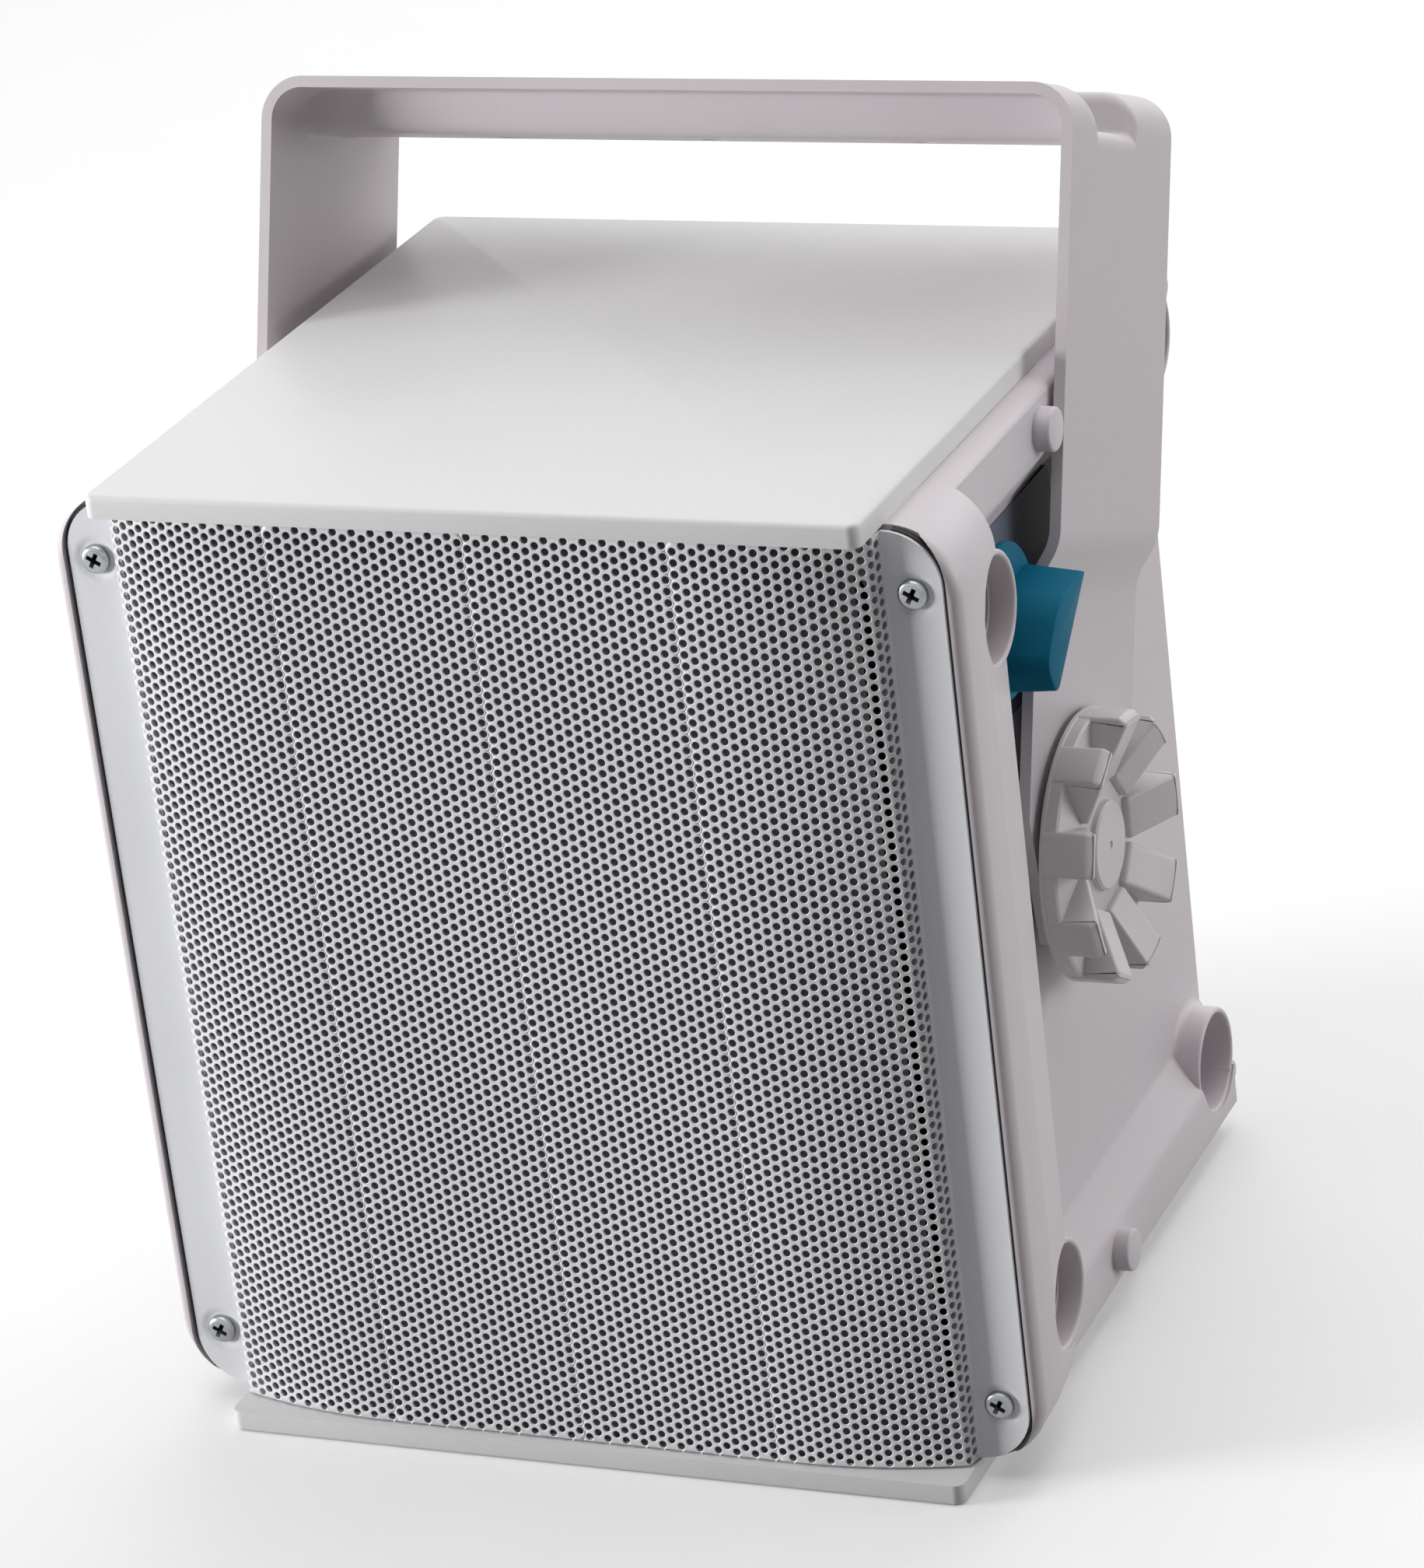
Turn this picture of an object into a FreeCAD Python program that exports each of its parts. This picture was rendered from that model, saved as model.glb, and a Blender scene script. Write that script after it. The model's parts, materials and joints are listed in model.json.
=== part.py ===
"""Wall speaker: moulded cabinet with a bowed perforated grille, hung in a tilting yoke bracket.

Millimetres, X to the right, Y to the rear, Z up. The origin is the centre of the cabinet's underside.
Depths are measured back from the front edge of the two plates, heights from the cabinet's mid-height.
"""
import math
import os

import FreeCAD
import Part

V = FreeCAD.Vector
X_DIR = V(1, 0, 0)
Y_DIR = V(0, 1, 0)
Z_DIR = V(0, 0, 1)
CENTRE = V(0, 0, 0)

# Top and bottom plates
CAB_HEIGHT = 268.0
PLATE_WIDTH = 208.4
PLATE_DEPTH = 216.4
PLATE_THICK = 6.0
PLATE_CORNER = 3.0
PLATE_EDGE = 1.2

# Front frame
FRAME_FRONT = 13.4
FRAME_SHOULDER = 17.0
FRAME_CREASE = 31.0
FRAME_REAR = 47.3
FRAME_HALF = 123.0
FRAME_CREASE_HALF = 122.3
FRAME_REAR_HALF = 120.2
FRAME_CORNER = 18.0
FRAME_RIM_EASE = 1.6
WINDOW_HALF_WIDTH = 98.0
WINDOW_HALF_HEIGHT = 117.0
WINDOW_CORNER = 8.0
LEDGE_THICK = 7.0
BAFFLE_HALF_WIDTH = 102.6
BAFFLE_PLATE_GAP = 4.4
BAFFLE_THICK = 10.0
BAFFLE_CLEAR = 0.4

# Cups in the sides of the front frame
FRONT_CUP_DEPTH = 44.4
FRONT_CUP_RISE = 95.0
FRONT_CUP_RIM = 120.0
FRONT_CUP_BORE = 13.4
FRONT_CUP_WALL = 1.7
FRONT_CUP_LEDGE = 6.3
FRONT_CUP_WELL_RADIUS = 11.2
FRONT_CUP_WELL = 1.6
FRONT_CUP_FOOT = 107.6
CUP_FLOOR_THICK = 1.2
CUP_FLOOR_CLEAR = 0.4
CUP_LUG = 2.4
CUP_LUG_RISE = 1.5
CUP_LUG_OFFSET = 7.4

# Grille
GRILLE_SET = 2.6
GRILLE_FLAT_HALF = 58.0
GRILLE_FACE_HALF = 102.5
GRILLE_FALL = 6.9
GRILLE_WALL_LEAN = 1.2
GRILLE_SHEET = 1.0
GRILLE_END_CLEAR = 0.4
FLANGE_SET = 14.2
FLANGE_HALF_WIDTH = 118.6
FLANGE_HALF_HEIGHT = 127.2
FLANGE_CORNER = 14.0
FLANGE_GAP = 1.3
GASKET_THICK = 1.8
GASKET_WIDTH = 9.0
HOLE_PITCH = 26.0
HOLE_SHARE = 0.66
HOLE_SIDES = 8
HOLE_MARGIN = 2.6
GRILLE_SCREW_X = 111.0
GRILLE_SCREW_RISE = 111.2
DIMPLE_RADIUS = 5.7
DIMPLE_DEPTH = 0.6
SCREW_HEAD_RADIUS = 3.9
SCREW_HEAD_THICK = 2.2
SCREW_SHANK_RADIUS = 1.6
SCREW_LENGTH = 12.0
SCREW_CLEAR = 0.3
CLOTH_THICK = 0.6
CLOTH_GAP = 0.3
CLOTH_INSET = 3.5

# Rear housing
RAIL_FRONT_HALF = 111.4
SIDE_TAPER = 0.012
RAIL_EDGE = 1.0
RECESS_DEPTH = 8.6
RECESS_HALF_HEIGHT = 99.5
RECESS_FLANK = 10.5
WALL_THICK = 3.0
BACK_LEDGE_THICK = 4.0
BACK_OPEN_HALF_WIDTH = 80.0
BACK_OPEN_HALF_HEIGHT = 104.0
BACK_PANEL_HALF_WIDTH = 88.0
BACK_PANEL_HALF_HEIGHT = 112.0
BACK_PANEL_THICK = 3.0
BACK_PANEL_SET = 1.0
BACK_PANEL_CLEAR = 0.4
BACK_SCREW_X = 84.0
BACK_SCREW_RISE = 100.0
BACK_SCREW_HEAD = 3.2
BACK_SCREW_HEAD_THICK = 1.8
BACK_SCREW_SHANK = 1.4
BACK_SCREW_LENGTH = 8.0
REAR_CUP_INSET = 12.6
REAR_CUP_RISE = 107.6
REAR_CUP_RIM = 108.8
REAR_CUP_BORE = 13.6
REAR_CUP_WALL = 1.7
REAR_CUP_WELL = 11.0
REAR_CUP_FOOT = 90.0
NUB_RADIUS = 3.0
NUB_OVERHANG = 0.8
NUB_RISE = 117.2
NUB_FOOT = 98.0

# Pivot stack, from the housing outwards
PIVOT_DEPTH = 114.5
BOSS_RADIUS = 20.0
BOSS_FACE = 104.4
BOSS_FOOT = 93.0
FRICTION_WASHER_RADIUS = 17.0
FRICTION_WASHER_THICK = 1.3
STEEL_WASHER_RADIUS = 14.0
STEEL_WASHER_THICK = 1.7
STUD_RADIUS = 4.0
STUD_CLEAR = 0.3
STUD_RUNNING_FIT = 0.06
STUD_HEAD_RADIUS = 7.5
STUD_HEAD_THICK = 4.5
STUD_ENGAGED = 4.6

# Yoke bracket
YOKE_THICK = 3.0
YOKE_HALF_WIDTH = 39.0
YOKE_LEAN = 20.5
YOKE_REACH = 195.7
YOKE_JOG_LOW = 68.0
YOKE_JOG_HIGH = 79.0
YOKE_ARM_OUTER = 114.7
YOKE_BEND = 11.5
YOKE_FLANGE_DEEP = 15.0
YOKE_FLANGE_BEND = 4.5
YOKE_SHOULDER = 8.0
YOKE_TOE_HALF = 20.0
YOKE_TOE_DROP = 25.0
YOKE_CORNER = 5.0
DART_LEG = 14.0
DART_FRONT = 19.0
DART_REAR = 16.0
DART_SHIFT = 2.1
FIXING_HOLE = 3.3
FIXING_SPREAD = 60.0

# Stop pegs on the rails
PEG_RADIUS = 5.8
PEG_END = 115.0
PEG_RISE = 117.2
PEG_ROOT = 6.0
PEG_EDGE = 0.8
STOP_GAP = 0.3

# Hand knobs
KNOB_RADIUS = 36.0
KNOB_DISC_THICK = 4.6
KNOB_HUB_RADIUS = 11.8
KNOB_HUB_RISE = 7.0
KNOB_HEIGHT = 14.2
KNOB_LOBES = 9
KNOB_LOBE_WIDTH = 11.8
KNOB_LOBE_START = 17.0
KNOB_LOBE_START_RISE = 6.4
KNOB_LOBE_LAND = 2.4
KNOB_LOBE_EASE = 1.8
INSERT_RADIUS = 6.5
INSERT_LENGTH = 5.4

# Selector
SELECTOR_DEPTH = 79.2
SELECTOR_RISE = 76.9
SELECTOR_SKIRT_RADIUS = 20.5
SELECTOR_SKIRT_TOP = 108.8
SELECTOR_SKIRT_THICK = 1.8
GRIP_RISE = 15.9
SELECTOR_TURN = 40.0
GRIP_FLAT = 4.1
GRIP_TIP = 17.4
GRIP_TIP_ROUND = 0.8
GRIP_CROWN = 1.5
GRIP_CROWN_OUT = 9.2
GRIP_CROWN_ROUND = 12.0
GRIP_HEEL = 15.3
GRIP_HEEL_OUT = 7.2
GRIP_HEEL_ROUND = 5.0
GRIP_TAIL = 18.3
GRIP_TAIL_ROUND = 3.0
GRIP_EDGE = 0.5
SHAFT_RADIUS = 3.0
SHAFT_COVER = 5.3
SHAFT_START = 86.0
SHAFT_RUNNING_FIT = 0.06
BUSHING_RADIUS = 5.0
BUSHING_CLEAR = 0.4
BUSHING_GAP = 1.0
SWITCH_SIZE = 30.0
SWITCH_CORNER = 6.0
SWITCH_THICK = 9.0
LABEL_FRONT = 50.0
LABEL_REAR = 135.0
LABEL_LOW = 46.0
LABEL_HIGH = 98.5
LABEL_THICK = 0.5
LABEL_CORNER = 3.0

# Loudspeaker driver, radii about its axis and depths from the plates' front edge
DRIVER_FLANGE_RADIUS = 83.0
DRIVER_FLANGE_THICK = 3.0
BAFFLE_HOLE = 72.0
BASKET_MOUTH = 67.0
BASKET_NECK = 36.0
BASKET_LENGTH = 44.0
BASKET_SKIN = 1.6
BASKET_LIP = 3.0
BASKET_BACK_GAP = 8.0
BASKET_WINDOWS = 6
BASKET_WINDOW_WIDTH = 26.0
GAP_PLATE_RADIUS = 37.0
GAP_PLATE_THICK = 5.0
GAP_RADIUS = 13.3
MAGNET_RADIUS = 42.0
MAGNET_BORE = 19.0
MAGNET_THICK = 16.0
YOKE_PLATE_RADIUS = 40.0
YOKE_PLATE_THICK = 5.0
POLE_RADIUS = 12.1
COIL_RADIUS = 12.5
COIL_WALL = 0.4
COIL_LENGTH = 25.0
CONE_MOUTH = 54.5
CONE_DEPTH = 25.0
CONE_WALL = 0.8
CONE_LIP = 2.5
ROLL_RADIUS = 4.4
ROLL_WALL = 0.7
ROLL_INNER_LAND = 1.2
ROLL_LANDING = 5.0
SPIDER_RADIUS = 38.0
SPIDER_LANDING = 5.0
SPIDER_WALL = 0.6
SPIDER_FOLD = 1.6
SPIDER_SET = 30.0
CAP_RADIUS = 16.0
CAP_RISE = 6.0
CAP_WALL = 0.6
DRIVER_SCREWS = 4
DRIVER_SCREW_CIRCLE = 77.0
DRIVER_SCREW_HEAD = 3.6
DRIVER_SCREW_HEAD_THICK = 2.2
DRIVER_SCREW_LENGTH = 8.0

# Line transformer, terminals and cable entry
CORE_WIDTH = 48.0
CORE_HEIGHT = 40.0
CORE_STACK = 20.0
CORE_LEG = 8.0
CORE_X = -34.0
CORE_DEPTH = 160.0
WINDING_OVERHANG = 7.0
WINDING_CLEAR = 0.4
WINDING_CORNER = 4.0
TERMINAL_WIDTH = 44.0
TERMINAL_HEIGHT = 16.0
TERMINAL_THICK = 12.0
TERMINAL_RISE = -40.0
TERMINAL_WAYS = 4
TERMINAL_HOLE = 2.6
GLAND_X = 0.0
GLAND_RISE = -78.0
GLAND_RADIUS = 8.0
GLAND_HEAD_RADIUS = 12.0
GLAND_HEAD_THICK = 6.0
GLAND_BORE = 4.2
GLAND_NUT_THICK = 5.0
GLAND_CLEAR = 0.4

# How far a cutting tool runs past the solid it cuts
CUT_PAST = 5.0

# Worked out from the sizes above
FRONT = -PLATE_DEPTH / 2
REAR_CUP_DEPTH = PLATE_DEPTH - REAR_CUP_INSET
NUB_DEPTH = PLATE_DEPTH + NUB_OVERHANG
MID = CAB_HEIGHT / 2
INNER_HALF = MID - PLATE_THICK
BAFFLE_HALF_HEIGHT = INNER_HALF - BAFFLE_PLATE_GAP
SEAT_DEPTH = FLANGE_SET + GRILLE_SHEET + GASKET_THICK
BAFFLE_FRONT = SEAT_DEPTH + LEDGE_THICK
BACK_PANEL_FRONT = PLATE_DEPTH - BACK_PANEL_SET - BACK_PANEL_THICK
BACK_LEDGE_FRONT = BACK_PANEL_FRONT - BACK_LEDGE_THICK
ARM_INNER = BOSS_FACE + FRICTION_WASHER_THICK
ARM_OUTER = ARM_INNER + YOKE_THICK
KNOB_BASE = ARM_OUTER + STEEL_WASHER_THICK
FRONT_CUP_OUTER = FRONT_CUP_BORE + FRONT_CUP_WALL
REAR_CUP_OUTER = REAR_CUP_BORE + REAR_CUP_WALL
LEAN = math.radians(YOKE_LEAN)
PIVOT_Y = FRONT + PIVOT_DEPTH
SELECTOR_TOP = SELECTOR_SKIRT_TOP + GRIP_RISE
SHAFT_END = SELECTOR_TOP - SHAFT_COVER
DRIVER_SEAT = BAFFLE_FRONT
DRIVER_FRONT = DRIVER_SEAT - DRIVER_FLANGE_THICK
SPIDER_DEPTH = DRIVER_SEAT + SPIDER_SET
BASKET_BACK = DRIVER_SEAT + BASKET_LENGTH
GAP_PLATE_BACK = BASKET_BACK + GAP_PLATE_THICK
MAGNET_BACK = GAP_PLATE_BACK + MAGNET_THICK


def at_depth(depth):
    """Model Y of a depth behind the plates' front edge."""
    return FRONT + depth


def rail_half(depth):
    """Half-width of the housing's rails at a depth."""
    return RAIL_FRONT_HALF - SIDE_TAPER * (depth - FRAME_REAR)


def panel_half(depth):
    """Half-width of the recessed side panels at a depth."""
    return rail_half(depth) - RECESS_DEPTH


def edges_of(corners, place):
    """Edges of a closed outline whose corners are (a, b) or (a, b, radius)."""
    pts = [(c[0], c[1], c[2] if len(c) > 2 else 0.0) for c in corners]
    count = len(pts)
    runs = []
    for i in range(count):
        a, b, r = pts[i]
        if r <= 0:
            runs.append([(a, b)])
            continue
        pa, pb, _ = pts[i - 1]
        na, nb, _ = pts[(i + 1) % count]
        la = math.hypot(pa - a, pb - b)
        lb = math.hypot(na - a, nb - b)
        d1 = ((pa - a) / la, (pb - b) / la)
        d2 = ((na - a) / lb, (nb - b) / lb)
        half = math.acos(max(-1.0, min(1.0, d1[0] * d2[0] + d1[1] * d2[1]))) / 2
        run = r / math.tan(half)
        size = math.hypot(d1[0] + d2[0], d1[1] + d2[1])
        bis = ((d1[0] + d2[0]) / size, (d1[1] + d2[1]) / size)
        reach = r / math.sin(half) - r
        start = (a + d1[0] * run, b + d1[1] * run)
        middle = (a + bis[0] * reach, b + bis[1] * reach)
        end = (a + d2[0] * run, b + d2[1] * run)
        runs.append([start, middle, end])
    edges = []
    for i in range(count):
        here = runs[i]
        after = runs[(i + 1) % count]
        if len(here) == 3:
            edges.append(Part.Arc(place(*here[0]), place(*here[1]), place(*here[2])).toShape())
        p = place(*here[-1])
        q = place(*after[0])
        if p.distanceToPoint(q) > 1e-6:
            edges.append(Part.LineSegment(p, q).toShape())
    return edges


def wire_of(corners, place):
    return Part.Wire(edges_of(corners, place))


def prism(corners, place, run):
    return Part.Face(wire_of(corners, place)).extrude(run)


def spun(corners, place, base, axis):
    return Part.Face(wire_of(corners, place)).revolve(base, axis, 360)


def across(y):
    """Outline plane facing the front: (x, z) at a model Y."""
    return lambda a, b: V(a, y, b)


def level(z):
    """Outline plane seen from above: (x, y) at a height."""
    return lambda a, b: V(a, b, z)


def upright(x):
    """Outline plane seen from the side: (y, z) at a model X."""
    return lambda a, b: V(x, a, b)


def box_corners(half_a, half_b, radius, mid_a=0.0, mid_b=0.0):
    return [
        (mid_a - half_a, mid_b - half_b, radius),
        (mid_a + half_a, mid_b - half_b, radius),
        (mid_a + half_a, mid_b + half_b, radius),
        (mid_a - half_a, mid_b + half_b, radius),
    ]


def front_block(half_w, half_h, radius, start, end):
    """Rounded block about the mid-height, between two depths."""
    corners = box_corners(half_w, half_h, radius, 0.0, MID)
    return prism(corners, across(at_depth(start)), V(0, end - start, 0))


def rod_x(radius, start, end, y, z):
    """Cylinder along X from start to end."""
    return Part.makeCylinder(radius, abs(end - start), V(min(start, end), y, z), X_DIR)


def rod_y(radius, start, end, x, z):
    """Cylinder along Y between two depths."""
    return Part.makeCylinder(radius, end - start, V(x, at_depth(start), z), Y_DIR)


def mirrored(shape):
    return shape.mirror(CENTRE, X_DIR)


def both_sides(shape):
    return [shape, mirrored(shape)]


def poly_solid(faces):
    """Solid bounded by flat polygons given as lists of points."""
    made = [Part.Face(Part.makePolygon(points + [points[0]])) for points in faces]
    return Part.makeSolid(Part.makeShell(made))


def rows(rise):
    return (MID - rise, MID + rise)


def make_plate(upper):
    corners = box_corners(PLATE_WIDTH / 2, PLATE_DEPTH / 2, PLATE_CORNER)
    body = prism(corners, level(0), V(0, 0, PLATE_THICK))
    rim = [e for e in body.Edges if e.BoundBox.ZMax < 1e-6]
    body = body.makeFillet(PLATE_EDGE, rim)
    return body.mirror(V(0, 0, MID), Z_DIR) if upper else body


def front_cups():
    """Centres of the front cups as (y, z) pairs."""
    return [(at_depth(FRONT_CUP_DEPTH), z) for z in rows(FRONT_CUP_RISE)]


def grille_screw_spots():
    return [(s * GRILLE_SCREW_X, z) for s in (-1, 1) for z in rows(GRILLE_SCREW_RISE)]


def make_front_frame():
    ease = FRAME_RIM_EASE
    stations = [
        (FRAME_FRONT, FRAME_HALF - ease, INNER_HALF - ease, FRAME_CORNER - ease),
        (FRAME_SHOULDER, FRAME_HALF, INNER_HALF, FRAME_CORNER),
        (FRAME_CREASE, FRAME_CREASE_HALF, INNER_HALF, FRAME_CORNER),
        (FRAME_REAR, FRAME_REAR_HALF, INNER_HALF, FRAME_CORNER),
    ]
    rings = []
    for depth, half_w, half_h, radius in stations:
        rings.append(wire_of(box_corners(half_w, half_h, radius, 0.0, MID), across(at_depth(depth))))
    body = Part.makeLoft(rings, True, True)
    adds = []
    cuts = [
        front_block(
            FLANGE_HALF_WIDTH + FLANGE_GAP,
            FLANGE_HALF_HEIGHT + FLANGE_GAP,
            FLANGE_CORNER + FLANGE_GAP,
            FRAME_FRONT - CUT_PAST,
            SEAT_DEPTH,
        ),
        front_block(
            WINDOW_HALF_WIDTH,
            WINDOW_HALF_HEIGHT,
            WINDOW_CORNER,
            SEAT_DEPTH - CUT_PAST,
            FRAME_REAR + CUT_PAST,
        ),
        front_block(
            BAFFLE_HALF_WIDTH + BAFFLE_CLEAR,
            BAFFLE_HALF_HEIGHT + BAFFLE_CLEAR,
            0,
            BAFFLE_FRONT,
            FRAME_REAR + CUT_PAST,
        ),
    ]
    for y, z in front_cups():
        adds += both_sides(rod_x(FRONT_CUP_OUTER, FRONT_CUP_FOOT, FRONT_CUP_RIM, y, z))
        ledge = FRONT_CUP_RIM - FRONT_CUP_LEDGE
        cuts += both_sides(rod_x(FRONT_CUP_BORE, ledge, FRAME_HALF + CUT_PAST, y, z))
        cuts += both_sides(rod_x(FRONT_CUP_WELL_RADIUS, ledge - FRONT_CUP_WELL, ledge + CUT_PAST, y, z))
    for x, z in grille_screw_spots():
        bore = SCREW_SHANK_RADIUS + SCREW_CLEAR
        cuts.append(rod_y(bore, SEAT_DEPTH - CUT_PAST, FLANGE_SET + SCREW_LENGTH + CUT_PAST, x, z))
    return body.fuse(adds).cut(cuts).removeSplitter()


def make_cup_floors():
    foot = FRONT_CUP_RIM - FRONT_CUP_LEDGE - FRONT_CUP_WELL
    parts = []
    for y, z in front_cups():
        floor = rod_x(FRONT_CUP_WELL_RADIUS - CUP_FLOOR_CLEAR, foot, foot + CUP_FLOOR_THICK, y, z)
        lugs = []
        for sign in (-1, 1):
            corner = V(foot + CUP_FLOOR_THICK, y - CUP_LUG / 2, z + sign * CUP_LUG_OFFSET - CUP_LUG / 2)
            lugs.append(Part.makeBox(CUP_LUG_RISE, CUP_LUG, CUP_LUG, corner))
        parts += both_sides(floor.fuse(lugs))
    return Part.makeCompound(parts)


def face_curve(shift, inset):
    """Corner list of the bowed face, from its left end to its right end, as arcs and lines."""
    flat_y = at_depth(GRILLE_SET + shift)
    end_y = at_depth(GRILLE_SET + GRILLE_FALL + shift)
    end_x = GRILLE_FACE_HALF - inset
    bow = ((GRILLE_FACE_HALF - GRILLE_FLAT_HALF) ** 2 + GRILLE_FALL ** 2) / (2 * GRILLE_FALL)
    end_y -= bow_drop(GRILLE_FACE_HALF, bow) - bow_drop(end_x, bow)
    mid_x = (GRILLE_FLAT_HALF + end_x) / 2
    mid_y = flat_y + bow_drop(mid_x, bow)
    return flat_y, end_x, end_y, mid_x, mid_y


def bow_drop(x, bow):
    """Fall of the bowed face behind its flat middle at a distance from the centre."""
    out = max(0.0, abs(x) - GRILLE_FLAT_HALF)
    return bow - math.sqrt(bow ** 2 - out ** 2)


def face_edges(shift, inset, z):
    flat_y, end_x, end_y, mid_x, mid_y = face_curve(shift, inset)
    flat = GRILLE_FLAT_HALF
    left = Part.Arc(V(-end_x, end_y, z), V(-mid_x, mid_y, z), V(-flat, flat_y, z)).toShape()
    middle = Part.LineSegment(V(-flat, flat_y, z), V(flat, flat_y, z)).toShape()
    right = Part.Arc(V(flat, flat_y, z), V(mid_x, mid_y, z), V(end_x, end_y, z)).toShape()
    return [left, middle, right], V(-end_x, end_y, z), V(end_x, end_y, z)


def bowed_sheet(front_shift, thick, inset, half_h, tails):
    """Sheet following the bowed face; tails adds the step walls and the side flanges."""
    z = MID - half_h
    outer, outer_l, outer_r = face_edges(front_shift, inset, z)
    inner_inset = inset + (thick if tails else 0.0)
    inner, inner_l, inner_r = face_edges(front_shift + thick, inner_inset, z)
    right_path = [outer_r]
    if tails:
        root = GRILLE_FACE_HALF + GRILLE_WALL_LEAN
        front_y = at_depth(FLANGE_SET)
        back_y = at_depth(FLANGE_SET + GRILLE_SHEET)
        right_path += [V(root, front_y, z), V(FLANGE_HALF_WIDTH, front_y, z)]
        right_path += [V(FLANGE_HALF_WIDTH, back_y, z), V(root - GRILLE_SHEET, back_y, z)]
    right_path.append(inner_r)
    left_path = [V(-p.x, p.y, p.z) for p in right_path]
    edges = outer + inner
    for path in (right_path, left_path):
        for p, q in zip(path, path[1:]):
            edges.append(Part.LineSegment(p, q).toShape())
    outline = Part.Wire(Part.__sortEdges__(edges))
    return Part.Face(outline).extrude(V(0, 0, 2 * half_h))


def hole_spots():
    """Centres of the openings on a triangular lattice with upright columns."""
    step_x = HOLE_PITCH * math.sqrt(3) / 2
    radius = HOLE_PITCH * HOLE_SHARE / 2
    reach_x = GRILLE_FACE_HALF - HOLE_MARGIN - radius
    reach_z = INNER_HALF - HOLE_MARGIN - radius
    columns = int(reach_x / step_x)
    spots = []
    for i in range(-columns, columns + 1):
        shift = HOLE_PITCH / 2 if i % 2 else 0.0
        span = int((reach_z + HOLE_PITCH) / HOLE_PITCH) + 1
        for j in range(-span, span + 1):
            z = j * HOLE_PITCH + shift
            if abs(z) <= reach_z:
                spots.append((i * step_x, MID + z))
    return spots


def make_grille():
    half_h = INNER_HALF - GRILLE_END_CLEAR
    sheet = bowed_sheet(0.0, GRILLE_SHEET, 0.0, half_h, True)
    outline = front_block(FLANGE_HALF_WIDTH, half_h, FLANGE_CORNER, 0, FLANGE_SET + CUT_PAST)
    sheet = sheet.common(outline)
    cuts = []
    radius = HOLE_PITCH * HOLE_SHARE / 2
    for x, z in hole_spots():
        ring = []
        for k in range(HOLE_SIDES):
            turn = 2 * math.pi * (k + 0.5) / HOLE_SIDES
            ring.append((x + radius * math.cos(turn), z + radius * math.sin(turn)))
        cuts.append(prism(ring, across(at_depth(0)), V(0, FLANGE_SET, 0)))
    pads = []
    for x, z in grille_screw_spots():
        back = FLANGE_SET + GRILLE_SHEET
        pads.append(rod_y(DIMPLE_RADIUS + GRILLE_SHEET, back, back + DIMPLE_DEPTH, x, z))
        cuts.append(rod_y(DIMPLE_RADIUS, FLANGE_SET - CUT_PAST, FLANGE_SET + DIMPLE_DEPTH, x, z))
        cuts.append(rod_y(SCREW_SHANK_RADIUS + SCREW_CLEAR, FLANGE_SET, back + CUT_PAST, x, z))
    return sheet.fuse(pads).cut(cuts).removeSplitter()


def make_grille_screws():
    parts = []
    seat = FLANGE_SET + DIMPLE_DEPTH
    for x, z in grille_screw_spots():
        head = rod_y(SCREW_HEAD_RADIUS, seat - SCREW_HEAD_THICK, seat, x, z)
        front = [e for e in head.Edges if abs(e.BoundBox.YMax - at_depth(seat - SCREW_HEAD_THICK)) < 1e-6]
        head = head.makeChamfer(SCREW_HEAD_THICK / 3, front)
        parts.append(head.fuse(rod_y(SCREW_SHANK_RADIUS, seat, FLANGE_SET + SCREW_LENGTH, x, z)))
    return Part.makeCompound(parts)


def make_gasket():
    """Strip under each side flange, wide enough to show in the gap round it."""
    start = FLANGE_SET + GRILLE_SHEET
    grow = FLANGE_GAP - CUP_FLOOR_CLEAR
    half_w = FLANGE_HALF_WIDTH + grow
    strip = front_block(half_w, INNER_HALF - GRILLE_END_CLEAR, FLANGE_CORNER + grow, start, SEAT_DEPTH)
    inner = half_w - GASKET_WIDTH - SCREW_HEAD_RADIUS
    strip = strip.cut(front_block(inner, INNER_HALF + CUT_PAST, 0, start - CUT_PAST, SEAT_DEPTH + CUT_PAST))
    holes = []
    for x, z in grille_screw_spots():
        radius = DIMPLE_RADIUS + GRILLE_SHEET + SCREW_CLEAR
        holes.append(rod_y(radius, start - CUT_PAST, SEAT_DEPTH + CUT_PAST, x, z))
    return strip.cut(holes)


def make_grille_cloth():
    shift = GRILLE_SHEET + CLOTH_GAP
    half_h = WINDOW_HALF_HEIGHT - CLOTH_INSET
    return bowed_sheet(shift, CLOTH_THICK, CLOTH_INSET, half_h, False)


def side_point(depth, out, z):
    """Point on the right side, measured outwards from the rail's face."""
    return V(rail_half(depth) + out, at_depth(depth), z)


def frustum(inner_box, outer_box):
    """Loft between two rectangles on the slanted side; a box is (front, rear, half height, out)."""
    rings = []
    for front, rear, half_h, out in (inner_box, outer_box):
        pts = [
            side_point(front, out, MID - half_h),
            side_point(rear, out, MID - half_h),
            side_point(rear, out, MID + half_h),
            side_point(front, out, MID + half_h),
        ]
        rings.append(Part.makePolygon(pts + [pts[0]]))
    return Part.makeLoft(rings, True, True)


def plan_block(half_of, start, end, low, high):
    """Tapered block between two depths; half_of gives its half-width at a depth."""
    corners = [
        (-half_of(start), at_depth(start)),
        (half_of(start), at_depth(start)),
        (half_of(end), at_depth(end)),
        (-half_of(end), at_depth(end)),
    ]
    return prism(corners, level(low), V(0, 0, high - low))


def peg_y():
    """Model Y of the stop pegs, one stop gap ahead of the leaning arm's front edge."""
    along = (PEG_RISE - YOKE_HALF_WIDTH * math.sin(LEAN)) / math.cos(LEAN)
    edge = PIVOT_Y + along * math.sin(LEAN) - YOKE_HALF_WIDTH * math.cos(LEAN)
    return edge - (PEG_RADIUS + STOP_GAP) / math.cos(LEAN)


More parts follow.
